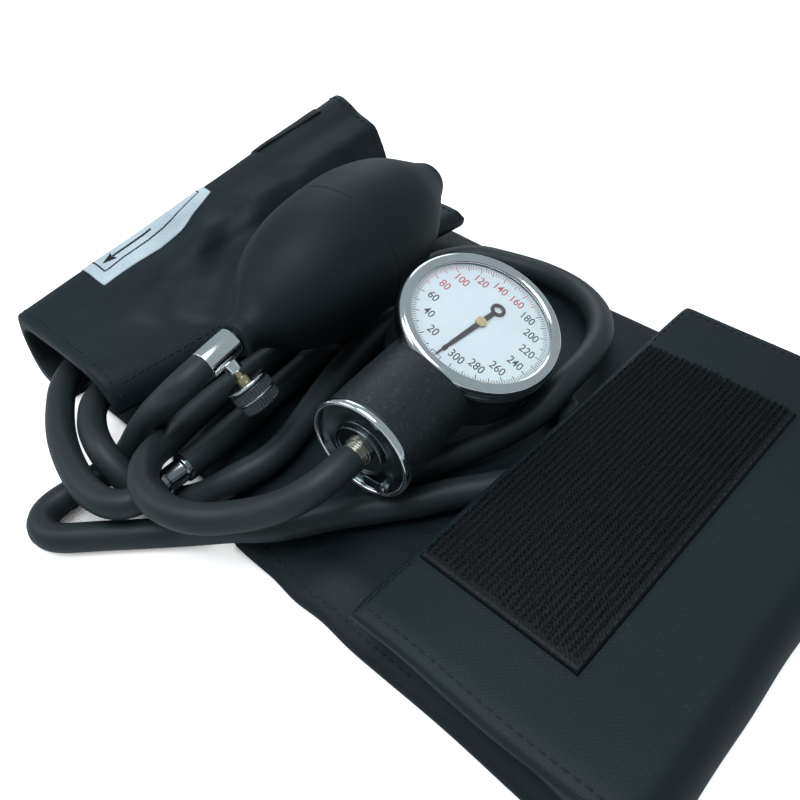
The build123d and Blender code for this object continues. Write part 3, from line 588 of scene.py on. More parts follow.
# Hoses: the routes of the solids, as smooth splines
hoses = {
    "diameter": 0.0086,
    "gaugeHose": {
        "length": 0.3842, "node": "gauge_hose", "farEnd": "object",
        "points": [
            (17.617, -49.258, 33.055), (18.561, -57.202, 33.081), (14.8, -66, 29.5), (8.8, -71.5, 25.6),
            (3, -76.5, 23.6), (-2.1, -81.6, 23), (-8.8, -86.2, 23.1), (-17.3, -88, 23.1), (-26, -86.7, 23.1),
            (-33.4, -80.2, 22.8), (-38.8, -69.4, 18.6), (-43, -58.2, 17.3), (-45.8, -43, 16.5),
            (-47.6, -25, 15.5), (-48.6, -5, 14), (-48, 18, 13), (-47.3, 38, 12.7), (-44.5, 54, 12.6),
            (-36.5, 64.5, 12.7), (-23.8, 68.1, 12.6), (-9.2, 70.9, 12.7), (5.7, 69.3, 13.2), (19.9, 60.6, 16),
            (30.9, 45.5, 20.5), (35, 31.2, 22.3), (35.7, 17.7, 22.7), (35.2, 6.8, 18.4), (30.5, -2.2, 14),
            (26, -12.4, 12.9), (22.5, -20.5, 12.8), (19.4, -27.5, 12.5),
        ],
    },
    "cuffHose": {
        "length": 0.0532, "node": "cuff_tube", "farEnd": "object",
        "points": [
            (-38.6, -19, 12.5), (-37, -28.9, 12.8), (-34.9, -40, 13), (-33.5, -49.8, 13), (-32.2, -59, 13.3),
            (-30.933, -66.5, 13.751), (-30.6, -71.5, 13.804),
        ],
    },
    "bulbHose": {
        "length": 0.6859, "node": "bulb_hose", "farEnd": "connector",
        "points": [
            (-30.7, -57.4, 42.4), (-29.922, -63.317, 41.777), (-32.7, -68.4, 37.7), (-48.9, -71.4, 20.2),
            (-55.2, -79.5, 5.2), (-56.6, -92.5, 4.7), (-57, -107.2, 4.7), (-46.9, -111.2, 4.7),
            (-36.1, -99.9, 4.7), (-27.9, -91.9, 4.7), (-19.8, -83.9, 4.9), (-12.5, -79.8, 8), (-4, -75.2, 12),
            (4, -69, 12.7), (8.8, -62.4, 12.8), (14.9, -53.4, 12.7), (21.7, -44.8, 12.8), (28.5, -36.2, 12.7),
            (33.2, -28.4, 12.8), (39, -21, 12.7), (46, -11, 12.8), (49, 1, 12.7), (45.5, 12, 12.8),
            (36, 20, 12.7), (22, 25.5, 12.8), (6, 29.5, 12.7), (-10, 31, 12.8), (-24, 29, 12.7),
            (-32.6, 21.5, 12.8), (-33.6, 10, 12.7), (-28.7, -10.4, 12.8), (-24.9, -22.7, 12.7),
            (-20.5, -33.7, 12.8), (-16.7, -44.2, 12.7), (-14.8, -54.2, 12.7), (-17.5, -63.5, 11.9),
            (-24, -73, 6.3), (-31.5, -79.5, 4.8), (-39.5, -83.5, 6.2), (-47.5, -85.4, 13.2),
            (-55, -84.9, 16.3), (-65.6, -81.4, 16.4), (-74.5, -74.3, 16.5), (-77.5, -60, 16.2),
            (-77.8, -46, 15.4), (-80, -34, 14.6), (-86.5, -26.5, 14.2), (-95.5, -26.5, 14.3),
            (-102, -34, 14.5), (-103.5, -47, 15.2), (-98.5, -62, 16), (-89.7, -77.4, 15.8),
            (-79, -84.9, 15.1), (-67.6, -90.6, 14.8), (-54.6, -94.4, 14.5), (-43.5, -96, 14.2),
            (-34.5, -94.3, 14), (-29.5, -88, 13.98), (-30, -80.5, 13.9),
        ],
    },
}


def addHose(name):
    look = hoses[name]
    hose = addTube(name, look["points"], hoses["diameter"] / 2, "hoseRubber", 10)
    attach(hose, bodyMain)
    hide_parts(look["node"])
    return hose


laidHoses = {name: addHose(name) for name in ("gaugeHose", "cuffHose", "bulbHose")}
print("hoses laid")


# Every layer of cloth: its lowest face, and how its hems are rounded
cloth = {"overFloor": 0.25, "edgeThick": 0.28, "edgeSteps": (0, 0.08, 0.25, 0.55)}

# Left flap: the rolled end of the cuff, a thick fold that falls to the flat in front
flap = {
    "halfWidth": 75.5, "around": 150, "hemRadius": 1.5, "rows": 120,
    "farOuter": [
        (-100, 0), (-114, 0), (-119.5, 2.5), (-121.4, 9), (-121.5, 20), (-121.5, 32), (-121.4, 42),
        (-120.4, 48.5), (-116.5, 50.8), (-110.5, 49.3), (-105.6, 46.7), (-100, 45), (-96.9, 43.7), (-94, 38),
        (-92.5, 31.5), (-88, 27), (-78, 23.5), (-64, 21),
        (-57, 20.8), (-53.5, 20.3), (-51, 18.4)],
    "farInner": [
        (-100, 8), (-109, 8.6), (-113.5, 11), (-115.2, 18), (-115.6, 30), (-115.3, 40), (-113, 42.5),
        (-108, 41), (-103, 37),
        (-101, 31), (-98, 25), (-90, 19), (-78, 15.5), (-64, 13), (-56, 11.8), (-52, 14.5)],
    "nearOuter": [
        (-100, 0), (-112, 0), (-117, 2), (-119, 7), (-119.3, 13), (-119, 18), (-118.3, 22), (-117.4, 25.5),
        (-116, 28.5), (-112, 30.2), (-108, 30.8), (-102, 31), (-97, 31.2), (-92, 31.6), (-88, 31.9),
        (-84, 32.1), (-76, 32.5), (-68, 32), (-62, 29.5),
        (-58.5, 25.5), (-57, 20.5)],
    "nearInner": [
        (-100, 8), (-109, 8.6), (-113, 10.8), (-114.2, 13.5), (-114.6, 17), (-114.2, 20.5), (-112.5, 23.5),
        (-109, 25.2), (-104, 26),
        (-98, 26.6), (-92, 27.2), (-84, 27.8), (-76, 28), (-67, 27.2), (-62, 24), (-59.5, 20)],
    # soft waves of the outer face, from a share of its length on
    "outerRun": 160, "waveSeed": 4, "waveLength": 60, "waveDepth": 0.5, "waveFrom": 0.18, "waveEase": 0.1,
    # where the drape folds begin and end on the face, and the low ridge beside each
    "faceFrom": 0.34, "faceEase": 0.10, "faceTo": 0.99, "endEase": 0.08, "foldEase": 8, "ridge": 0.45,
    "ridgeAside": 1.7,
    # drape folds on the face: start and end in plan, half width, depth
    "folds": [
        ((-110, -8), (-74, -52), 5.0, 1.3), ((-104, 10), (-64, -40), 6.0, 1.5),
        ((-112, -38), (-92, -64), 5.0, 0.8), ((-100, 36), (-62, -12), 7.0, 1.4),
        ((-96, 60), (-64, 24), 6.0, 1.2), ((-90, -30), (-72, -66), 6.0, -0.8),
    ],
}


def flapSection(y, side):
    w = np.clip((y + flap["halfWidth"]) / (2 * flap["halfWidth"]), 0, 1)
    near, far = np.array(flap["near" + side], float), np.array(flap["far" + side], float)
    return throughPoints(near * (1 - w) + far * w, flap["around"])


def foldDepth(x, y):
    total = np.zeros(np.broadcast(x, y).shape)
    for (ax, ay), (bx, by), width, depth in flap["folds"]:
        run = np.hypot(bx - ax, by - ay)
        tx, ty = (bx - ax) / run, (by - ay) / run
        along = (x - ax) * tx + (y - ay) * ty
        across = -(x - ax) * ty + (y - ay) * tx
        inside = np.clip(along / flap["foldEase"], 0, 1) * np.clip((run - along) / flap["foldEase"], 0, 1)
        inside = inside * inside * (3 - 2 * inside)
        ridge = flap["ridge"] * np.exp(-((across - flap["ridgeAside"] * width) / width) ** 2)
        total = total + depth * inside * (np.exp(-(across / width) ** 2) - ridge)
    return total


def sectionNormals(section):
    tangent = np.gradient(section, axis=0)
    tangent /= np.linalg.norm(tangent, axis=1)[:, None]
    return np.stack([-tangent[:, 1], tangent[:, 0]], 1)


def flapOuterRow(y):
    # one cross line of the outer face, with its folds and its outward normals
    section = flapSection(y, "Outer")
    normals = sectionNormals(section) * -1
    if normals[len(normals) // 2][1] < 0:
        normals = -normals
    share = np.linspace(0, 1, len(section))
    begun = np.clip((share - flap["faceFrom"]) / flap["faceEase"], 0, 1)
    onFace = begun * np.clip((flap["faceTo"] - share) / flap["endEase"], 0, 1)
    waves = softWaves(share * flap["outerRun"], y, flap["waveSeed"], flap["waveLength"]) * flap["waveDepth"]
    waves = waves * np.clip((share - flap["waveFrom"]) / flap["waveEase"], 0, 1)
    depth = foldDepth(section[:, 0], y) * onFace + waves
    section = section - normals * depth[:, None]
    section[:, 1] = np.maximum(section[:, 1], cloth["overFloor"])
    return section, normals


def hemShare(distance, radius):
    # share of the cloth's thickness near its rounded edge
    rise = math.sqrt(max(0.0, 1 - (1 - min(distance, radius) / radius) ** 2))
    return rise * (1 - cloth["edgeThick"]) + cloth["edgeThick"]


def rowPlaces(low, high, count, radius):
    edge = radius * np.array(cloth["edgeSteps"])
    inner = np.linspace(low + radius, high - radius, count)
    return np.r_[low + edge, inner, high - edge[::-1]]


def thickStrip(name, rows, outerRow, innerRow, hemRadius, finish, insideFinish, node, edgeShift=None):
    # a folded layer of cloth: an outer and an inner face, joined along every edge
    outer, inner = [], []
    for y in rows:
        out, into = outerRow(y), innerRow(y)
        share = hemShare(min(y - rows[0], rows[-1] - y), hemRadius)
        middle = (out + into) / 2
        out, into = middle + (out - middle) * share, middle + (into - middle) * share
        shift = edgeShift(out[:, 0], y) if edgeShift else 0.0
        outer.append(np.column_stack([out[:, 0], np.full(len(out), y) + shift, out[:, 1]]))
        inner.append(np.column_stack([into[:, 0], np.full(len(into), y) + shift, into[:, 1]]))
    count = len(outer[0])
    points = np.r_[np.concatenate(outer), np.concatenate(inner)]
    faces = sheetFaces(len(rows), count)
    onFace = (len(rows) - 1) * (count - 1)
    faceKinds = [0] * onFace + [1] * onFace
    faceKinds += [0] * (len(faces) - 2 * onFace)
    run = np.r_[0, np.cumsum(np.linalg.norm(np.diff(outer[len(rows) // 2], axis=0), axis=1))]
    weave = np.column_stack([np.tile(run, 2 * len(rows)), np.tile(np.repeat(rows, count), 2)])
    piece = addPiece(
        name, points, faces, finish, weave=weave, faceFinish=faceKinds, extraFinishes=[insideFinish]
    )
    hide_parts(node)
    return piece


flapRows = rowPlaces(-flap["halfWidth"], flap["halfWidth"], flap["rows"], flap["hemRadius"])
thickStrip(
    "leftFlapCloth", flapRows, lambda y: flapOuterRow(y)[0], lambda y: flapSection(y, "Inner"),
    flap["hemRadius"], "cuffCloth", "clothInside", "cuff_left_flap",
)
print("left flap formed")

# Base layer under the hoses
base = {
    "left": -100.0, "right": 112.0, "top": 8.0, "edge": 3.0, "run": 14.0, "columns": 170, "rows": 110,
    "farRun": 5.0, "farDrop": 1.6, "hemRadius": 1.5, "width": 150, "sink": 0.3,
    "waveSeed": 9, "waveLength": 46, "waveDepth": 0.35,
    # short creases behind the near edge, and that edge's own ripple
    "creaseAt": 22, "creaseDepth": 0.45, "creaseWide": 18, "creaseStep": 3.2, "creaseFade": 12,
    "rippleDepth": 0.5, "rippleWide": 16, "rippleStep": 4.1, "swayDepth": 0.25, "swayStep": 9.0,
    # shares of the width at which the edges get extra rows
    "nearSteps": (0, 0.004, 0.012, 0.025), "inner": (0.04, 0.96), "farSteps": (0.98, 0.99, 0.997, 1),
    # near edge of the layer in plan: it steps in where the flap lies over it
    "nearEdge": [
        (-100, -70), (-60, -68), (-32, -66.2), (-16, -66.4), (-11, -70), (-7, -75), (6, -75.6), (112, -75.5)
    ],
    # how far the far edge of the layer reaches past the halves of the cuff
    "farEdge": [
        (-100, 1.0), (-86, 2.5), (-70, 4.6), (-59, 4.9), (-47, 4.2), (-36, 3.1), (11, 0.8), (34, 0.4),
        (60, 0), (112, 0),
    ],
}


def baseNearEdge(x):
    edge = readTable(base["nearEdge"], x)
    nearby = np.exp(-((x - base["creaseAt"]) / base["rippleWide"]) ** 2)
    ripple = base["rippleDepth"] * np.sin(x / base["rippleStep"]) * nearby
    return edge + ripple + base["swayDepth"] * np.sin(x / base["swayStep"])


def baseFarEdge(x):
    return flap["halfWidth"] + readTable(base["farEdge"], x)


def baseTop(x, near, y):
    fromNear, fromFar = y - near, baseFarEdge(x) - y
    nearRise = np.clip(fromNear / base["run"], 0, 1)
    farRise = np.clip(fromFar / base["farRun"], 0, 1)
    height = base["edge"] + (base["top"] - base["edge"]) * np.sin(nearRise * math.pi / 2)
    height = height - base["farDrop"] * (1 - np.sin(farRise * math.pi / 2))
    crease = base["creaseDepth"] * np.exp(-((x - base["creaseAt"]) / base["creaseWide"]) ** 2)
    crease = crease * np.sin(x / base["creaseStep"]) * np.exp(-fromNear / base["creaseFade"])
    waves = softWaves(x, y, base["waveSeed"], base["waveLength"]) * base["waveDepth"]
    return height + crease + waves - base["sink"]


def addBase():
    xs = np.linspace(base["left"], base["right"], base["columns"])
    near = baseNearEdge(xs)
    share = np.r_[base["nearSteps"], np.linspace(*base["inner"], base["rows"]), base["farSteps"]]
    top, bottom = [], []
    for s in share:
        y = near + (baseFarEdge(xs) - near) * s
        hem = hemShare(min(s, 1 - s) * base["width"], base["hemRadius"])
        high = baseTop(xs, near, y)
        low = np.full(len(xs), cloth["overFloor"])
        middle = (high + low) / 2
        top.append(np.column_stack([xs, y, middle + (high - middle) * hem]))
        bottom.append(np.column_stack([xs, y, middle + (low - middle) * hem]))
    points = np.r_[np.concatenate(top), np.concatenate(bottom)]
    piece = addPiece("baseCloth", points, sheetFaces(len(share), len(xs)), "cuffCloth", weave=points[:, :2])
    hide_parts("cuff_base")
    return piece


addBase()
print("base layer formed")

# Right fold: the end of the cuff, folded back over the base
fold = {
    "left": 43.0, "join": 112.0, "top": 21.9, "drop": 0.9, "outer": 121.5, "rows": 110, "hemRadius": 1.6,
    "edgeRun": 7, "edgeDrop": 0.9, "waveSeed": 21, "waveLength": 70, "waveDepth": 0.35, "sink": 0.15,
    "lipSteps": (0, 0.5, 1.5), "flatSteps": 60, "turnSteps": 42, "turnClear": 0.12,
    # unevenness of the turn along the fold: depth, step and start of each wave, and the most it may be
    "swells": [(0.02, 11, 0), (0.015, 5.3, 1)], "widest": 1.02,
    # drop of the first points, which round the free edge
    "lip": (1.6, 0.5, 0.1),
    # under face: place, height, and whether it sways along the fold
    "inner": [
        (43.0, 17.8, 0), (50, 17.4, 1), (75, 16.2, 1), (92, 14.6, 0), (100, 12.6, 0), (106, 10.2, 0),
        (109, 8.5, 0), (112, 8, 0),
    ],
    "swayDepth": 0.25, "swayStep": 13,
    # the near edge swings out a little towards the turn
    "shiftRun": 30, "shiftDepth": 0.9, "shiftFrom": 70, "shiftOver": 45, "rippleDepth": 0.3, "rippleStep": 8,
}


def upperTop(x, y):
    # height of the cloth under the hook patch and round it
    slope = fold["top"] - fold["drop"] * (x - fold["left"]) / (fold["join"] - fold["left"])
    fromNear, fromFar = (y + flap["halfWidth"]) / fold["edgeRun"], (flap["halfWidth"] - y) / fold["edgeRun"]
    edge = np.minimum(np.clip(fromNear, 0, 1), np.clip(fromFar, 0, 1))
    waves = softWaves(x, y, fold["waveSeed"], fold["waveLength"]) * fold["waveDepth"]
    return slope - fold["edgeDrop"] * (1 - np.sin(edge * math.pi / 2)) + waves - fold["sink"]


def foldOuterRow(y):
    lip = [fold["left"] + step for step in fold["lipSteps"]]
    xs = np.r_[lip[:-1], np.linspace(lip[-1], fold["join"], fold["flatSteps"])]
    zs = upperTop(xs, y)
    zs[:len(fold["lip"])] -= fold["lip"]
    radius = zs[-1] / 2 - fold["turnClear"]
    turn = np.linspace(math.pi / 2, -math.pi / 2, fold["turnSteps"])[1:]
    swell = min(
        1 + sum(depth * math.sin(y / step + start) for depth, step, start in fold["swells"]), fold["widest"]
    )
    arcX = fold["join"] + (fold["outer"] - fold["join"]) * np.cos(turn) * swell
    arc = np.column_stack([arcX, radius + cloth["overFloor"] + radius * np.sin(turn)])
    return np.r_[np.column_stack([xs, zs]), arc]


def foldInnerRow(y):
    lift = fold["swayDepth"] * math.sin(y / fold["swayStep"])
    return throughPoints([(x, z + lift * sways) for x, z, sways in fold["inner"]], len(foldOuterRow(y)))


foldRows = rowPlaces(-flap["halfWidth"], flap["halfWidth"], fold["rows"], fold["hemRadius"])


def foldEdgeShift(x, y):
    nearness = max(0.0, 1 - (y + flap["halfWidth"]) / fold["shiftRun"])
    swing = nearness * fold["shiftDepth"] * np.clip((x - fold["shiftFrom"]) / fold["shiftOver"], 0, 1)
    return swing + nearness * fold["rippleDepth"] * np.sin(x / fold["rippleStep"])


thickStrip(
    "rightFoldCloth", foldRows, foldOuterRow, foldInnerRow, fold["hemRadius"], "cuffCloth", "clothInside",
    "cuff_right_fold", foldEdgeShift,
)
print("right fold formed")

# Topstitching along the hems
stitch = {
    "pitch": 2.7, "length": 2.1, "radius": 0.26, "patchRadius": 0.2, "inset": 3.4, "edgeInset": 1.6,
    "proud": 0.02,
    "flapProud": 0.05,
    # where each seam runs, with its number of points; the flap's as shares of its length
    "foldRun": (45.2, 116, 90), "nearRun": -57, "farRun": (52, 72, 14), "baseRun": (-6, 60, 60),
    "flapRun": (0.12, 0.97), "tipRun": (-70, 70, 100), "tipBack": -12,
}


def upperLine(points):
    line = np.array([(x, y, upperTop(np.float64(x), y) + stitch["proud"]) for x, y in points])
    return line, sameWay(line, (0.0, 0.0, 1.0))


hemXs = np.linspace(*stitch["foldRun"])
nearHem = -flap["halfWidth"] + stitch["inset"]
runs = [
    upperLine([(x, nearHem + float(foldEdgeShift(x, nearHem))) for x in hemXs]),
    upperLine([(x, flap["halfWidth"] - stitch["inset"]) for x in hemXs]),
    upperLine([(fold["left"] + stitch["edgeInset"], y) for y in np.linspace(nearHem, stitch["nearRun"], 14)]),
    upperLine([(fold["left"] + stitch["edgeInset"], y) for y in np.linspace(*stitch["farRun"])]),
]
baseXs = np.linspace(*stitch["baseRun"])
baseEdge = baseNearEdge(baseXs)
baseStitchY = baseEdge + stitch["inset"]
baseHem = np.column_stack([baseXs, baseStitchY, baseTop(baseXs, baseEdge, baseStitchY) + stitch["proud"]])
runs.append((baseHem, sameWay(baseHem, (0.0, -0.3, 1.0))))


def flapRing(y):
    section, normals = flapOuterRow(y)
    low, high = stitch["flapRun"]
    picked = slice(int(low * len(section)), int(high * len(section)))
    line = np.column_stack([section[picked, 0], np.full(len(section[picked]), y), section[picked, 1]])
    outward = np.column_stack([normals[picked, 0], np.zeros(len(line)), normals[picked, 1]])
    return line + outward * stitch["flapProud"], outward


runs.append(flapRing(-flap["halfWidth"] + stitch["inset"]))
runs.append(flapRing(flap["halfWidth"] - stitch["inset"]))
flapTip = []
for y in np.linspace(*stitch["tipRun"]):
    tipX, tipZ = flapOuterRow(y)[0][stitch["tipBack"]]
    flapTip.append((tipX, y, tipZ + stitch["flapProud"]))
runs.append((flapTip, sameWay(flapTip, (0.5, 0.0, 1.0))))
addStitches("hemStitches", runs, stitch)
print("hems stitched")

# Hook patch: woven ground with rows of small nylon hooks, and a flat selvage
patch = {
    "left": 45.2, "right": 91.2, "near": -54.0, "far": 49.0, "thick": 1.2, "rows": 25, "pitch": 1.25,
    "selvage": 2.6,
    "bow": 0.9, "bowFrom": 20.0, "seamInset": 0.8, "columns": 70, "lines": 120, "round": 0.6,
    "roundDepth": 0.9,
    # one hook, as a bent line along its row: place and share of its height
    "hookShape": [(-0.42, 0.0), (-0.34, 0.55), (-0.02, 0.95), (0.36, 0.78), (0.42, 0.38)],
    "hookHigh": 1.1, "hookRadius": 0.12, "hookHalf": 0.24, "hookTilt": 0.1, "hookSunk": 0.1,
    # how far the hooks differ
    "firstRow": 1.0, "lastPlace": 0.7, "startSpread": 0.9, "asideSpread": 0.09, "leanSpread": 0.25,
    "swaySpread": 0.35, "sizes": (0.82, 1.15),
}


def patchTop(x, y):
    return upperTop(x, y) + patch["thick"]


def patchBow(x, y):
    # the far edge of the patch bows outwards in its middle
    across = np.sin((x - patch["left"]) / (patch["right"] - patch["left"]) * math.pi)
    share = np.clip((y - patch["bowFrom"]) / (patch["far"] - patch["bowFrom"]), 0, 1)
    return patch["bow"] * across * share**2


def edgedSteps(low, high, count):
    # steps across the patch, close together at its rounded edges
    inner = np.linspace(low + patch["round"], high - patch["round"], count)
    return np.r_[low, low + patch["round"] / 4, inner, high - patch["round"] / 4, high]


def addPatch():
    xs = edgedSteps(patch["left"], patch["right"], patch["columns"])
    ys = edgedSteps(patch["near"], patch["far"], patch["lines"])
    gridX, gridY = np.meshgrid(xs, ys)
    fromSides = np.minimum(gridX - patch["left"], patch["right"] - gridX)
    fromEdge = np.minimum(fromSides, np.minimum(gridY - patch["near"], patch["far"] - gridY))
    rounding = (1 - np.clip(fromEdge / patch["round"], 0, 1)) ** 2
    high = patchTop(gridX, gridY) - patch["thick"] * patch["roundDepth"] * rounding
    points = np.column_stack([gridX.ravel(), (gridY + patchBow(gridX, gridY)).ravel(), high.ravel()])
    under = points.copy()
    under[:, 2] = upperTop(gridX, gridY).ravel() - 0.05
    both = np.r_[points, under]
    piece = addPiece("hookPatchGround", both, sheetFaces(len(ys), len(xs)), "hookGround", weave=both[:, :2])
    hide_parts("hook_patch")
    return piece


def addHooks():
    # each hook is a short bent filament that leans along its row
    picks = np.random.RandomState(7)
    points, faces = [], []
    rowXs = np.linspace(patch["left"] + patch["firstRow"], patch["right"] - patch["selvage"], patch["rows"])
    shape = np.array(patch["hookShape"]) * (1.0, patch["hookHigh"])
    steps = np.arange(patch["near"] + patch["selvage"], patch["far"] - 0.8, patch["pitch"])
    for number, rowX in enumerate(rowXs):
        for y in steps + picks.uniform(0, patch["startSpread"]):
            if y > patch["far"] - patch["lastPlace"]:
                continue
            for offset in (-patch["hookHalf"], patch["hookHalf"]):
                x = rowX + offset + picks.uniform(-patch["asideSpread"], patch["asideSpread"])
                lean = picks.uniform(-patch["leanSpread"], patch["leanSpread"])
                sway = picks.uniform(-patch["swaySpread"], patch["swaySpread"])
                size = picks.uniform(*patch["sizes"])
                facing = 1 if (number + (offset > 0)) % 2 else -1
                first = len(points)
                middle = y + patchBow(x, y)
                ground = float(patchTop(np.float64(x), y)) - patch["hookSunk"]
                for a, h in shape:
                    along = facing * (a + h * patch["hookTilt"]) * size
                    centre = np.array([x + h * lean, middle + along, ground + h * size])
                    for k in range(3):
                        angle = 2 * math.pi * k / 3 + sway
                        outward = np.array([math.cos(angle), 0.0, math.sin(angle)])
                        points.append(centre + outward * patch["hookRadius"])
                faces += gridFaces(len(shape), 3, first, closed=True)
                tip = first + 3 * (len(shape) - 1)
                faces.append((tip, tip + 1, tip + 2))
    piece = addPiece("hookRows", points, faces, "hookNylon")
    return piece


addPatch()
addHooks()
patchSeam = []
seamXs = patch["left"] + patch["seamInset"], patch["right"] - patch["seamInset"]
seamYs = patch["near"] + patch["seamInset"], patch["far"] - patch["seamInset"]
for start, end in [((0, 0), (1, 0)), ((1, 0), (1, 1)), ((0, 0), (0, 1))]:
    steps = np.linspace((seamXs[start[0]], seamYs[start[1]]), (seamXs[end[0]], seamYs[end[1]]), 60)
    line = np.array([(x, y, patchTop(np.float64(x), y) + stitch["proud"]) for x, y in steps])
    patchSeam.append((line, sameWay(line, (0.0, 0.0, 1.0))))
addStitches("patchStitches", patchSeam, {**stitch, "radius": stitch["patchRadius"]})
print("hook patch made")

# Label and tag: skins that follow the roll
label = {
    "near": -49.0, "far": 4.0, "across": 26, "along": 70, "lift": 0.35, "under": -0.15, "weave": (16, 54),
    "ripple": 0.0, "rippleTurns": 9,
    "rightEdge": [(-49.5, -101.2), (-40, -100.8), (-25.6, -102.0), (-10, -106.3), (4.5, -111.2)],
    "leftEdge": [(-49.5, -117.6), (-20, -118.6), (4.5, -118.2)],
    # printing, in millimetres across and along: ends and steps of each run, line widths, arrow head
    "printWide": 16, "printLong": 53, "printProud": 0.12,
    "frame": [
        ((1.0, 4.2), (9.6, 4.2), 14), ((9.7, 4.6), (9.8, 30), 40), ((9.6, 31), (7.6, 49.5), 30),
        ((7.2, 49.9), (4.0, 50.2), 8),
    ],
    "frameWidth": 0.55, "arrow": ((6.2, 27), (6.2, 10), 30), "arrowWidth": 0.9,
    "arrowHead": [(6.2, 5.8), (4.2, 10.6), (6.2, 9.8), (8.2, 10.6)],
}


def rollPoint(y, x, lift):
    # the point of the roll's top over a plan x, raised a little along its normal
    section, normals = flapOuterRow(y)
    start = int(np.argmin(section[: len(section) // 2, 0]))
    xs = np.maximum.accumulate(section[start:, 0])
    at = np.interp(x, xs, np.arange(start, len(section)))
    steps = np.arange(len(section))
    here = pointAlong(steps, section, at) + pointAlong(steps, normals, at) * lift
    return np.array([here[0], y, here[1]])


def skinPoint(skin, a, b, lift):
    # a skin's own two directions: a from its left to its right edge, b from its near to its far end
    y = skin["near"] + (skin["far"] - skin["near"]) * b
    left, right = readTable(skin["leftEdge"], y), readTable(skin["rightEdge"], y)
    ripple = skin["ripple"] * math.sin(b * skin["rippleTurns"]) * a
    return rollPoint(y, left + (right - left) * a, lift + max(0.0, ripple))


def addSkin(name, skin, finish, node):
    places = [(a, b) for b in np.linspace(0, 1, skin["along"]) for a in np.linspace(0, 1, skin["across"])]
    points = [skinPoint(skin, a, b, lift) for lift in (skin["lift"], skin["under"]) for a, b in places]
    weave = [(a * skin["weave"][0], b * skin["weave"][1]) for a, b in places] * 2
    faces = sheetFaces(skin["along"], skin["across"])
    piece = addPiece(name, points, faces, finish, weave=weave)
    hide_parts(node)
    return piece


def printPoint(a, b):
    # a point of the printing, in millimetres across and along the label
    lift = label["lift"] + label["printProud"]
    return skinPoint(label, a / label["printWide"], b / label["printLong"], lift)


def printedLine(path, width):
    tangent = np.gradient(path, axis=0)
    tangent /= np.linalg.norm(tangent, axis=1)[:, None]
    sides = np.stack([-tangent[:, 1], tangent[:, 0]], 1) * width / 2
    points = [printPoint(a, b) for pair in zip(path + sides, path - sides) for a, b in pair]
    return points, gridFaces(len(path), 2)


def addLabelPrint():
    frameLine = np.concatenate([np.linspace(*run) for run in label["frame"]])
    arrowLine = np.linspace(*label["arrow"])
    points, faces = [], []
    for path, width in [(frameLine, label["frameWidth"]), (arrowLine, label["arrowWidth"])]:
        p, f = printedLine(path, width)
        faces += [tuple(i + len(points) for i in face) for face in f]
        points += p
    first = len(points)
    points += [printPoint(a, b) for a, b in label["arrowHead"]]
    faces += [(first, first + 1, first + 2), (first, first + 2, first + 3)]
    piece = addPiece("labelPrinting", points, faces, "labelPrint", weave=[(p[0], p[1]) for p in points])
    return piece


addSkin("labelSkin", label, "labelCloth", "artery_label")
addLabelPrint()
tag = {
    "near": 30.0, "far": 62.0, "across": 14, "along": 50, "lift": 0.5, "under": -0.15, "weave": (16, 54),
    "ripple": 0.3, "rippleTurns": 9,
    "leftEdge": [(30, -120.2), (62, -119.8)], "rightEdge": [(30, -114.8), (62, -113.6)],
}
addSkin("tagSkin", tag, "tagCloth", "woven_tag")
print("label and tag laid on")

# Bladder inside the base, with its two necks
bladder = {
    "length": 180.0, "width": 110.0, "middle": (0.0, 8.0), "low": 2.8, "high": 5.4, "around": 96,
    "squareness": 0.28,
    # rings of one face, from its rim to its middle: size, and how far the height drops to the other face
    "rings": [(1.0, 0.5), (0.985, 0.15), (0.96, 0.0), (0.5, 0.0), (0.02, 0.0)],
}
necks = {
    "wall": 0.0003, "steps": 12,
    "gaugeNeck": [(19.4, -27.5, 12.5), (17.0, -33.0, 12.2), (14.5, -39.5, 8.5), (13.5, -41.5, 4.6)],
    "bulbNeck": [(-38.6, -19, 12.5), (-39.5, -13.1, 12.2), (-40.1, -6.5, 8.6), (-40.3, -4.5, 4.6)],
}


def addBladder():
    angle = np.linspace(0, 2 * math.pi, bladder["around"], endpoint=False)
    ringX = bladder["length"] / 2 * np.sign(np.cos(angle)) * np.abs(np.cos(angle)) ** bladder["squareness"]
    ringY = bladder["width"] / 2 * np.sign(np.sin(angle)) * np.abs(np.sin(angle)) ** bladder["squareness"]
    depth = bladder["high"] - bladder["low"]
    upper = [(size, bladder["high"] - depth * drop) for size, drop in bladder["rings"]]
    lower = [(size, bladder["low"] + depth * drop) for size, drop in bladder["rings"]]
    rings = upper[::-1] + lower
    points = [
        (bladder["middle"][0] + x * size, bladder["middle"][1] + y * size, z)
        for size, z in rings for x, y in zip(ringX, ringY)
    ]
    piece = addPiece(
        "bladderBag", points, gridFaces(len(rings), bladder["around"], closed=True), "bladderRubber"
    )
    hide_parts("bladder")
    return piece


def addNeck(name):
    radius = hoses["diameter"] / 2 + necks["wall"]
    neck = addTube(name, necks[name], radius, "bladderRubber", necks["steps"])
    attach(neck, bodyMain)
    return neck


addBladder()
addNeck("gaugeNeck")
addNeck("bulbNeck")
print("bladder placed")

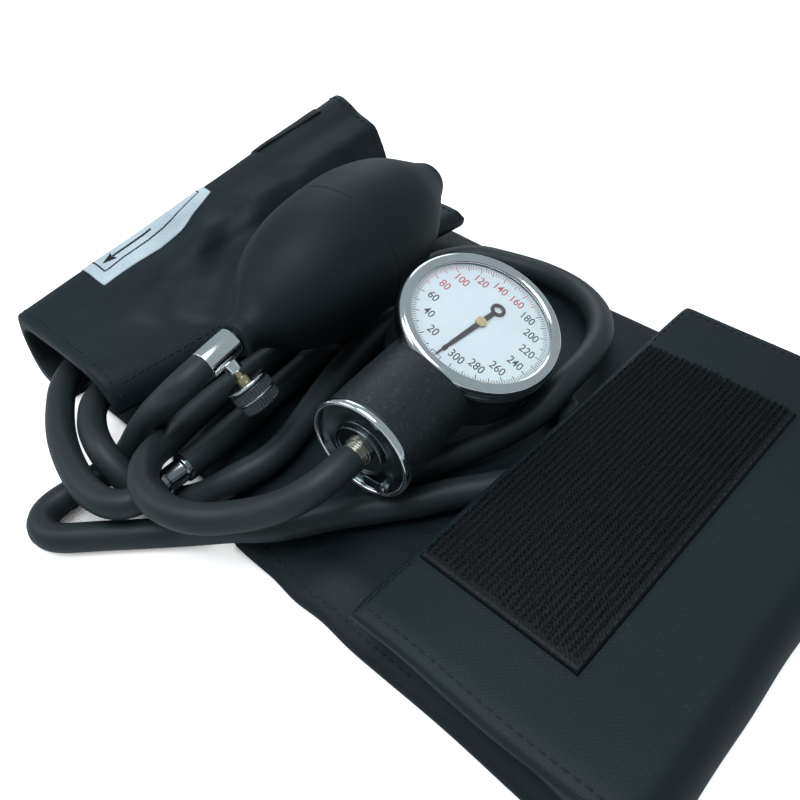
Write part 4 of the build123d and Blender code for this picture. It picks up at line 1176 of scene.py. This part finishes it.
# Squeeze bulb: turned about its own long axis
bulb = {
    "centre": (-40.7, 3.9, 43.5), "direction": (-0.178802, 0.983885, 0.0), "steps": 190, "around": 144,
    # moulding seam: its place and depth, then the place and width of its ridge and groove
    "seamAt": -1.2, "seamDepth": 0.16, "ridge": (0.5, 0.5), "ridgeHigh": 0.7, "groove": (-0.4, 0.35),
    "profile": [
        (3.0, -50.4), (5.0, -50.4), (5.6, -50.1), (5.8, -49.2), (6.1, -46.0), (7.7, -42.5), (12.6, -36.3),
        (17.9, -27.8), (21.6, -15.6), (22.8, -0.6), (22.0, 15.0), (18.3, 28.9), (13.2, 38.5), (9.8, 44.4),
        (8.3, 47.2), (7.6, 48.9), (7.2, 49.6), (6.3, 49.7),
    ],
}
bulbPlace = frameOf(bulb["direction"], bulb["centre"], (1, 0, 0))
bulbLine = throughPoints(bulb["profile"], bulb["steps"])
seamOff = bulbLine[:, 1] - bulb["seamAt"]
seamRidge = bulb["ridgeHigh"] * np.exp(-((seamOff - bulb["ridge"][0]) / bulb["ridge"][1]) ** 2)
seamGroove = np.exp(-((seamOff - bulb["groove"][0]) / bulb["groove"][1]) ** 2)
bulbLine[:, 0] += bulb["seamDepth"] * (seamRidge - seamGroove)
bulbSkin = turned("bulbSkin", bulbLine, bulbPlace, "bulbRubber", segments=bulb["around"])
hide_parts("bulb_shell")
print("bulb turned")

# Gauge: placed by its own frame, dial face at z = 0 and barrel towards -y
gauge = {
    "origin": (16.4, 3.3, 43.8), "zAxis": (0.413, 0.052, 0.909), "xHint": (0.9028, 0.106, -0.4162),
    "barrelZ": -12.0,
}
gaugeTurn, gaugeShift = frameOf(gauge["zAxis"], gauge["origin"], gauge["xHint"])
bezel = {
    "steps": 90, "around": 160,
    "profile": [
        (20.4, 1.0), (20.4, 2.0), (20.9, 2.5), (21.9, 2.75), (22.9, 2.55), (23.6, 1.9), (23.95, 1.0),
        (24.0, -0.4), (24.0, -1.9), (23.7, -2.9), (23.0, -3.2), (22.6, -3.2), (22.6, -1.0), (21.6, -0.6),
        (21.6, 1.0), (20.4, 1.0),
    ],
}
bezelLine = throughPoints(bezel["profile"], bezel["steps"])
bezelRing = turned("bezelChrome", bezelLine, (gaugeTurn, gaugeShift), "chromePlate", segments=bezel["around"])
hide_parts("bezel_ring")

scale = {
    "zero": -97.0, "perUnit": 1.15, "top": 300, "step": 2, "numberStep": 20, "lift": 0.03,
    "inner": 18.75, "outer": 19.95, "thin": 0.17, "thick": 0.24, "longTick": 1.0, "middleTick": 0.6,
    "redTicks": (70, 170), "redNumbers": (80, 160),
    "numberRadius": 15.0, "numberSize": 3.9, "numberWide": 0.80, "numberTall": 1.02, "numberBold": 0.02,
    "zeroBox": [(18.2, -1.6), (19.4, -1.6), (19.4, 1.6), (18.2, 1.6), (18.2, -1.6)], "zeroLine": 0.09,
}


def dialSpot(x, y):
    # a point of the dial's face, from its centre
    return gaugeTurn @ np.array([x, y, scale["lift"]]) + gaugeShift


def dialRay(value):
    # direction from the centre to a value of the scale, and the direction across it
    angle = math.radians(scale["zero"] - value * scale["perUnit"])
    return np.array([math.cos(angle), math.sin(angle)]), np.array([-math.sin(angle), math.cos(angle)])


def addScale():
    points, faces, faceKinds = [], [], []
    for value in range(0, scale["top"] + 1, scale["step"]):
        ray, side = dialRay(value)
        tick = scale["longTick"] if value % 20 == 0 else scale["middleTick"] if value % 10 == 0 else 0.0
        low = scale["inner"] - tick
        width = scale["thick"] if value % 10 == 0 else scale["thin"]
        first = len(points)
        high = scale["outer"]
        for radius, offset in [(low, -width), (high, -width), (high, width), (low, width)]:
            points.append(dialSpot(*(ray * radius + side * offset / 2)))
        faces.append((first, first + 1, first + 2, first + 3)[::-1])
        faceKinds.append(int(scale["redTicks"][0] <= value <= scale["redTicks"][1]))
    ray, side = dialRay(0)
    for (ra, sa), (rb, sb) in zip(scale["zeroBox"], scale["zeroBox"][1:]):
        a, b = ray * ra + side * sa, ray * rb + side * sb
        along = (b - a) / np.linalg.norm(b - a)
        out = np.array([-along[1], along[0]]) * scale["zeroLine"]
        first = len(points)
        points += [dialSpot(*spot) for spot in (a + out, b + out, b - out, a - out)]
        faces.append((first, first + 1, first + 2, first + 3))
        faceKinds.append(0)
    piece = addPiece(
        "dialTicks", points, faces, "scaleBlack", faceFinish=faceKinds, extraFinishes=["scaleRed"],
        smooth=False,
    )
    return piece


def addNumbers():
    points, faces, faceKinds = [], [], []
    for value in range(0, scale["top"] + 1, scale["numberStep"]):
        text = bpy.data.curves.new("number", "FONT")
        text.body = str(value)
        text.size = scale["numberSize"]
        text.align_x = "CENTER"
        text.align_y = "CENTER"
        text.offset = scale["numberBold"]
        carrier = placeInScene("number", text)
        flat = bpy.data.meshes.new_from_object(carrier)
        middle = dialRay(value)[0] * scale["numberRadius"]
        first = len(points)
        for vertex in flat.vertices:
            across, up = vertex.co.x * scale["numberWide"], vertex.co.y * scale["numberTall"]
            points.append(dialSpot(across + middle[0], up + middle[1]))
        for polygon in flat.polygons:
            faces.append([first + i for i in polygon.vertices])
            faceKinds.append(int(scale["redNumbers"][0] <= value <= scale["redNumbers"][1]))
        bpy.data.objects.remove(carrier)
        bpy.data.curves.remove(text)
        bpy.data.meshes.remove(flat)
    piece = addPiece(
        "dialNumbers", points, faces, "scaleBlack", faceFinish=faceKinds, extraFinishes=["scaleRed"],
        smooth=False,
    )
    return piece


addScale()
addNumbers()
print("gauge dressed")

# Barrel: fits round the case's side, closed below it by a flat end
barrelTurn, barrelShift = frameOf(
    gaugeTurn @ (0, -1, 0), gaugeTurn @ (0, 0, gauge["barrelZ"]) + gaugeShift, gaugeTurn[:, 0]
)
barrel = {
    "radius": 15.0, "rise": (0, 0.1, 0.4, 0.7), "caseRadius": 22.5, "bezelRadius": 24.0, "bezelLow": -3.2,
    "caseBack": -17.5, "open": 18.0, "around": 180,
    "rows": [
        (28.0, 15.0), (33.0, 15.0), (38.0, 15.0), (42.0, 14.9), (45.8, 14.8), (46.6, 14.8), (46.8, 14.6),
        (46.8, 14.1),
    ],
}


def addBarrel():
    angle = np.linspace(0, 2 * math.pi, barrel["around"], endpoint=False)
    x, z = barrel["radius"] * np.cos(angle), gauge["barrelZ"] + barrel["radius"] * np.sin(angle)
    guard = np.where(z > barrel["bezelLow"], barrel["bezelRadius"], barrel["caseRadius"])
    start = np.where(z > barrel["caseBack"], np.sqrt(np.maximum(guard**2 - x**2, 0)), barrel["open"])
    rows = [np.stack([x, -(start + (barrel["rows"][0][0] - start) * s), z], 1) for s in barrel["rise"]]
    for depth, radius in barrel["rows"]:
        ringZ = gauge["barrelZ"] + radius * np.sin(angle)
        rows.append(np.stack([radius * np.cos(angle), np.full(len(angle), -depth), ringZ], 1))
    points = np.concatenate(rows)
    faces = gridFaces(len(rows), barrel["around"], closed=True, flip=True)
    below = [k for k in range(barrel["around"]) if z[k] <= barrel["caseBack"]]
    faces.append(tuple(below))
    piece = addPiece("barrelSkin", points @ gaugeTurn.T + gaugeShift, faces, "barrelWrinkle")
    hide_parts("gauge_barrel")
    return piece


addBarrel()

# Bright metal pieces, turned with eased corners about the barrel's, the valve's and the knob's own lines
valve = {
    "front": (-32.2, -46.0, 43.6), "rear": (-30.7, -57.4, 42.4), "bossAlong": 5.0,
    "knobAxis": (0.589, 0.161, -0.792),
}
valveFront, valveRear = np.array(valve["front"]), np.array(valve["rear"])
valveLength = float(np.linalg.norm(valveRear - valveFront))
valveAlong = (valveRear - valveFront) / valveLength
bossAt = valveFront + valveAlong * valve["bossAlong"]
valvePlace = frameOf(valveAlong, valveFront, (0, 0, 1))
knobPlace = frameOf(valve["knobAxis"], bossAt, (1, 0, 0))
connectorNear = np.array(hoses["bulbHose"]["points"][-1])
connectorFar = np.array(hoses["cuffHose"]["points"][-1])
connectorLength = float(np.linalg.norm(connectorFar - connectorNear))
connectorPlace = frameOf(connectorFar - connectorNear, connectorNear, (1, 0, 0))
barrelLine = (barrelTurn, barrelShift)
thread = {"count": 3, "pitch": 0.8, "turn": [(3.3, 49.5), (3.7, 49.7), (3.7, 49.9), (3.3, 50.1)]}
threadLine = [
    (radius, low + thread["pitch"] * k) for k in range(thread["count"]) for radius, low in thread["turn"]
]
metalPieces = [
    {
        "name": "endRingChrome", "node": "barrel_end_ring", "place": barrelLine, "finish": "chromePlate",
        "slot": "chrome", "ease": 0.3,
        "profile": [
            (14.0, 46.8), (14.9, 46.8), (15.4, 47.1), (15.5, 47.6), (15.5, 48.3), (15.3, 48.8), (14.9, 49.0),
            (14.3, 48.95), (14.0, 48.6), (14.0, 46.9),
        ],
    },
    {
        "name": "endPlateChrome", "node": "barrel_end_plate", "place": barrelLine, "finish": "deepShadedChrome",
        "slot": "chrome", "ease": 0.25,
        "profile": [
            (14.0, 47.5), (13.2, 47.45), (11.0, 47.4), (8.1, 47.4), (7.8, 49.4), (7.2, 49.4), (7.0, 48.6),
            (4.2, 48.6), (2.1, 48.6),
        ],
    },
    {
        "name": "inletBarbChrome", "node": "inlet_barb", "place": barrelLine, "finish": "barbSteel",
        "slot": "chrome", "ease": 0.1,
        "profile": [
            (4.2, 48.6), (4.2, 49.3), (3.3, 49.4), *threadLine, (3.3, 51.8), (3.8, 51.8), (3.8, 52.3),
            (2.2, 52.3), (2.2, 57.5), (1.3, 57.7),
        ],
    },
    {
        "name": "valveChrome", "node": "valve_body", "place": valvePlace, "finish": "chromePlate",
        "slot": "chrome", "ease": 0.35,
        "profile": [
            (1.6, -7.4), (3.0, -7.4), (3.1, -7.0), (3.1, -0.02), (4.4, 0.0), (4.4, valveLength),
            (2.2, valveLength), (2.2, valveLength + 3.4), (1.3, valveLength + 3.5),
        ],
    },
    {
        "name": "valveBoss", "node": None, "place": knobPlace, "finish": "chromePlate", "slot": "chrome",
        "ease": 0.25, "profile": [(2.4, 2.0), (2.4, 6.9), (1.8, 6.9), (1.8, 6.75), (1.15, 6.7)],
    },
    {
        "name": "needleBrass", "node": "valve_needle", "place": knobPlace, "finish": "brassTurned",
        "slot": "brass", "ease": 0.15, "body": "knob",
        "profile": [
            (0.05, 3.25), (0.75, 3.3), (1.1, 4.2), (1.1, 9.0), (1.95, 9.0), (1.95, 10.9), (1.1, 10.9),
            (1.1, 15.0),
        ],
    },
    {
        "name": "knobRingChrome", "node": "knob_ring", "place": knobPlace, "finish": "chromePlate",
        "slot": "chrome", "ease": 0.25, "body": "knob",
        "profile": [(1.15, 10.9), (5.9, 10.9), (6.2, 11.15), (6.2, 11.7), (6.0, 11.9), (1.15, 11.9)],
    },
    {
        "name": "knobLine", "node": None, "place": knobPlace, "finish": "chromePlate", "slot": "chrome",
        "ease": 0.08, "body": "knob",
        "profile": [(5.5, 15.4), (6.0, 15.4), (6.05, 15.6), (6.0, 15.8), (5.5, 15.8)],
    },
    {
        "name": "knobKnurled", "node": "valve_knob", "place": knobPlace, "finish": "knobSteel",
        "slot": "steel", "ease": 0.25, "body": "knob", "around": 360, "bands": [(12.4, 15.2), (16.0, 18.9)],
        "profile": [
            (1.15, 11.9), (5.5, 11.9), (5.7, 12.2), (6.3, 12.45),
            *[(6.3, z) for z in np.arange(12.7, 15.1, 0.3)], (6.1, 15.3), (5.65, 15.45), (5.65, 15.85),
            (5.9, 16.0), *[(5.9, z) for z in np.arange(16.3, 18.9, 0.3)], (5.7, 19.1), (5.3, 19.5),
            (3.7, 19.5), (3.6, 18.85), (0.05, 18.8),
        ],
    },
    {
        "name": "connectorChrome", "node": "tube_connector", "place": connectorPlace, "finish": "shadedChrome",
        "slot": "chrome", "ease": 0.3,
        "profile": [
            (4.3, 0.05), (4.3, 1.3), (3.6, 1.7), (3.6, connectorLength - 1.7), (4.3, connectorLength - 1.3),
            (4.3, connectorLength - 0.05),
        ],
    },
]
for item in metalPieces:
    outline = roundedCorners(item["profile"], item["ease"])
    made = turned(
        item["name"], outline, item["place"], item["finish"], item.get("body", bodyMain),
        item.get("around", 120), item.get("bands", ()),
    )
    if item["node"]:
        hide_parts(item["node"])

lug = {
    "x": 8.1, "y": -7.6, "turn": 29.0, "half": 2.3, "radius": 1.9, "around": 64,
    "rows": [(0.0, 47.3), (0.0, 48.9), (0.1, 49.1), (0.3, 49.2)],
}


def addLug():
    # oval lug on the end plate, with a rounded top edge
    angle = np.linspace(0, 2 * math.pi, lug["around"], endpoint=False)
    cosine, sine = math.cos(math.radians(lug["turn"])), math.sin(math.radians(lug["turn"]))
    points = []
    for inward, height in lug["rows"]:
        x = (lug["radius"] - inward) * np.cos(angle) + lug["half"] * np.sign(np.cos(angle))
        y = (lug["radius"] - inward) * np.sin(angle)
        placed = [
            lug["x"] + x * cosine - y * sine, lug["y"] + x * sine + y * cosine, np.full(len(angle), height)
        ]
        points.append(np.stack(placed, 1))
    faces = gridFaces(len(points), lug["around"], closed=True)
    faces.append(tuple(range((len(points) - 1) * lug["around"], len(points) * lug["around"])))
    piece = addPiece(
        "endPlateLug", np.concatenate(points) @ barrelTurn.T + barrelShift, faces, "deepShadedChrome"
    )
    return piece


addLug()
print("metal pieces turned")

# Finishes of the carried-over nodes
nodeFinish = {
    "end_valve_body": "valvePlastic", "check_ball": "steelBrushed", "inlet_filter": "brassTurned",
    "needle_seal": "valvePlastic", "gauge_case": "caseBlack", "crystal_lens": "lensGlass",
    "dial_plate": "dialPaint", "pointer": "pointerBlack", "pointer_hub": "brassTurned",
    "pinion_shaft": "brassTurned", "sector_gear": "brassTurned", "push_rod": "steelBrushed",
    "front_plate": "brassTurned", "back_plate": "brassTurned", "hairspring": "steelBrushed",
    "end_plate_screw": "shadedChrome", "bellows": "brassTurned", "gauge_clip": "steelBrushed",
    "movement_posts": "brassTurned", "movement_screws": "steelBrushed",
}
for nodeName, finish in nodeFinish.items():
    mesh = cadNodes[nodeName].data
    mesh.materials.clear()
    mesh.materials.append(finishes[finish])
print("node finishes set")

# Studio: pale floor, soft lamps
studio = {
    # lamps: name, place, aim, size in metres, power in watts
    "lamps": [
        ("keyLamp", (0.0, -0.15, 0.85), (0.0, 0.0, 0.02), 0.6, 4.2),
        ("fillLamp", (-0.50, -0.50, 0.50), (0.0, 0.0, 0.02), 0.5, 1.0),
        ("backLamp", (-0.45, 0.45, 0.35), (0.0, 0.0, 0.03), 0.4, 0.7),
    ],
    "lampColor": (0.84, 0.95, 1.0), "skyColor": (0.80, 0.93, 1.0, 1), "world": 0.18, "mirrored": 0.36,
    "floor": (0.86, 0.87, 0.88), "floorGlow": 0.80, "floorRough": 0.8, "floorLow": -0.0002, "floorHalf": 6,
    # painted shade: the floor's colour and glow darken where the object closes over it
    "shadeReach": 0.025, "shadeFrom": 0.12, "shadeTo": 0.36, "shadeColor": (0.01, 0.01, 0.01, 1),
}
for lampName, place, aim, size, watts in studio["lamps"]:
    data = bpy.data.lights.new(lampName, "AREA")
    data.shape = "DISK"
    data.size = size
    data.energy = watts
    data.color = studio["lampColor"]
    lamp = placeInScene(lampName, data)
    lamp.location = place
    lamp.rotation_euler = (Vector(aim) - Vector(place)).to_track_quat("-Z", "Y").to_euler()

world = bpy.data.worlds.new("studioWorld")
bpy.context.scene.world = world
world.use_nodes = True
worldTree = world.node_tree
background = worldTree.nodes["Background"]
rays = addNode(worldTree, "ShaderNodeLightPath").outputs
seen = calculate(worldTree, "MAXIMUM", rays["Is Camera Ray"], rays["Is Transmission Ray"])
plain = spreadOut(worldTree, rays["Is Glossy Ray"], To_Min=studio["world"], To_Max=studio["mirrored"])
skyColor = mixColors(worldTree, seen, studio["skyColor"], (1, 1, 1, 1))
worldTree.links.new(skyColor, background.inputs["Color"])
worldTree.links.new(spreadOut(worldTree, seen, To_Min=plain, To_Max=1.0), background.inputs["Strength"])

floorMaterial, floorTree, floorShader = startMaterial("floorPaper", studio["floor"], studio["floorRough"])
floorShader.inputs["Emission Color"].default_value = (1, 1, 1, 1)
floorRays = addNode(floorTree, "ShaderNodeLightPath").outputs
floorSeen = calculate(floorTree, "MAXIMUM", floorRays["Is Camera Ray"], floorRays["Is Transmission Ray"])
floorOpen = addNode(
    floorTree, "ShaderNodeAmbientOcclusion", {"samples": 8}, Distance=studio["shadeReach"]
).outputs["AO"]
floorLit = addNode(
    floorTree, "ShaderNodeMapRange", {"interpolation_type": "SMOOTHSTEP"}, Value=floorOpen,
    From_Min=studio["shadeFrom"], From_Max=studio["shadeTo"],
).outputs["Result"]
floorTone = mixColors(floorTree, floorLit, studio["shadeColor"], (*studio["floor"], 1))
floorTree.links.new(floorTone, floorShader.inputs["Base Color"])
floorGlow = calculate(
    floorTree, "MULTIPLY", calculate(floorTree, "MULTIPLY", floorSeen, floorLit), studio["floorGlow"]
)
floorTree.links.new(floorGlow, floorShader.inputs["Emission Strength"])
floorMesh = bpy.data.meshes.new("floorSheet")
floorCorners = [(-1, -1), (1, -1), (1, 1), (-1, 1)]
floorPoints = [
    (x * studio["floorHalf"], y * studio["floorHalf"], studio["floorLow"]) for x, y in floorCorners
]
floorMesh.from_pydata(floorPoints, [], [(0, 1, 2, 3)])
floorMesh.materials.append(floorMaterial)
floorSheet = placeInScene("floorSheet", floorMesh)
bpy.context.scene.view_settings.view_transform = "Standard"
print("studio lit")
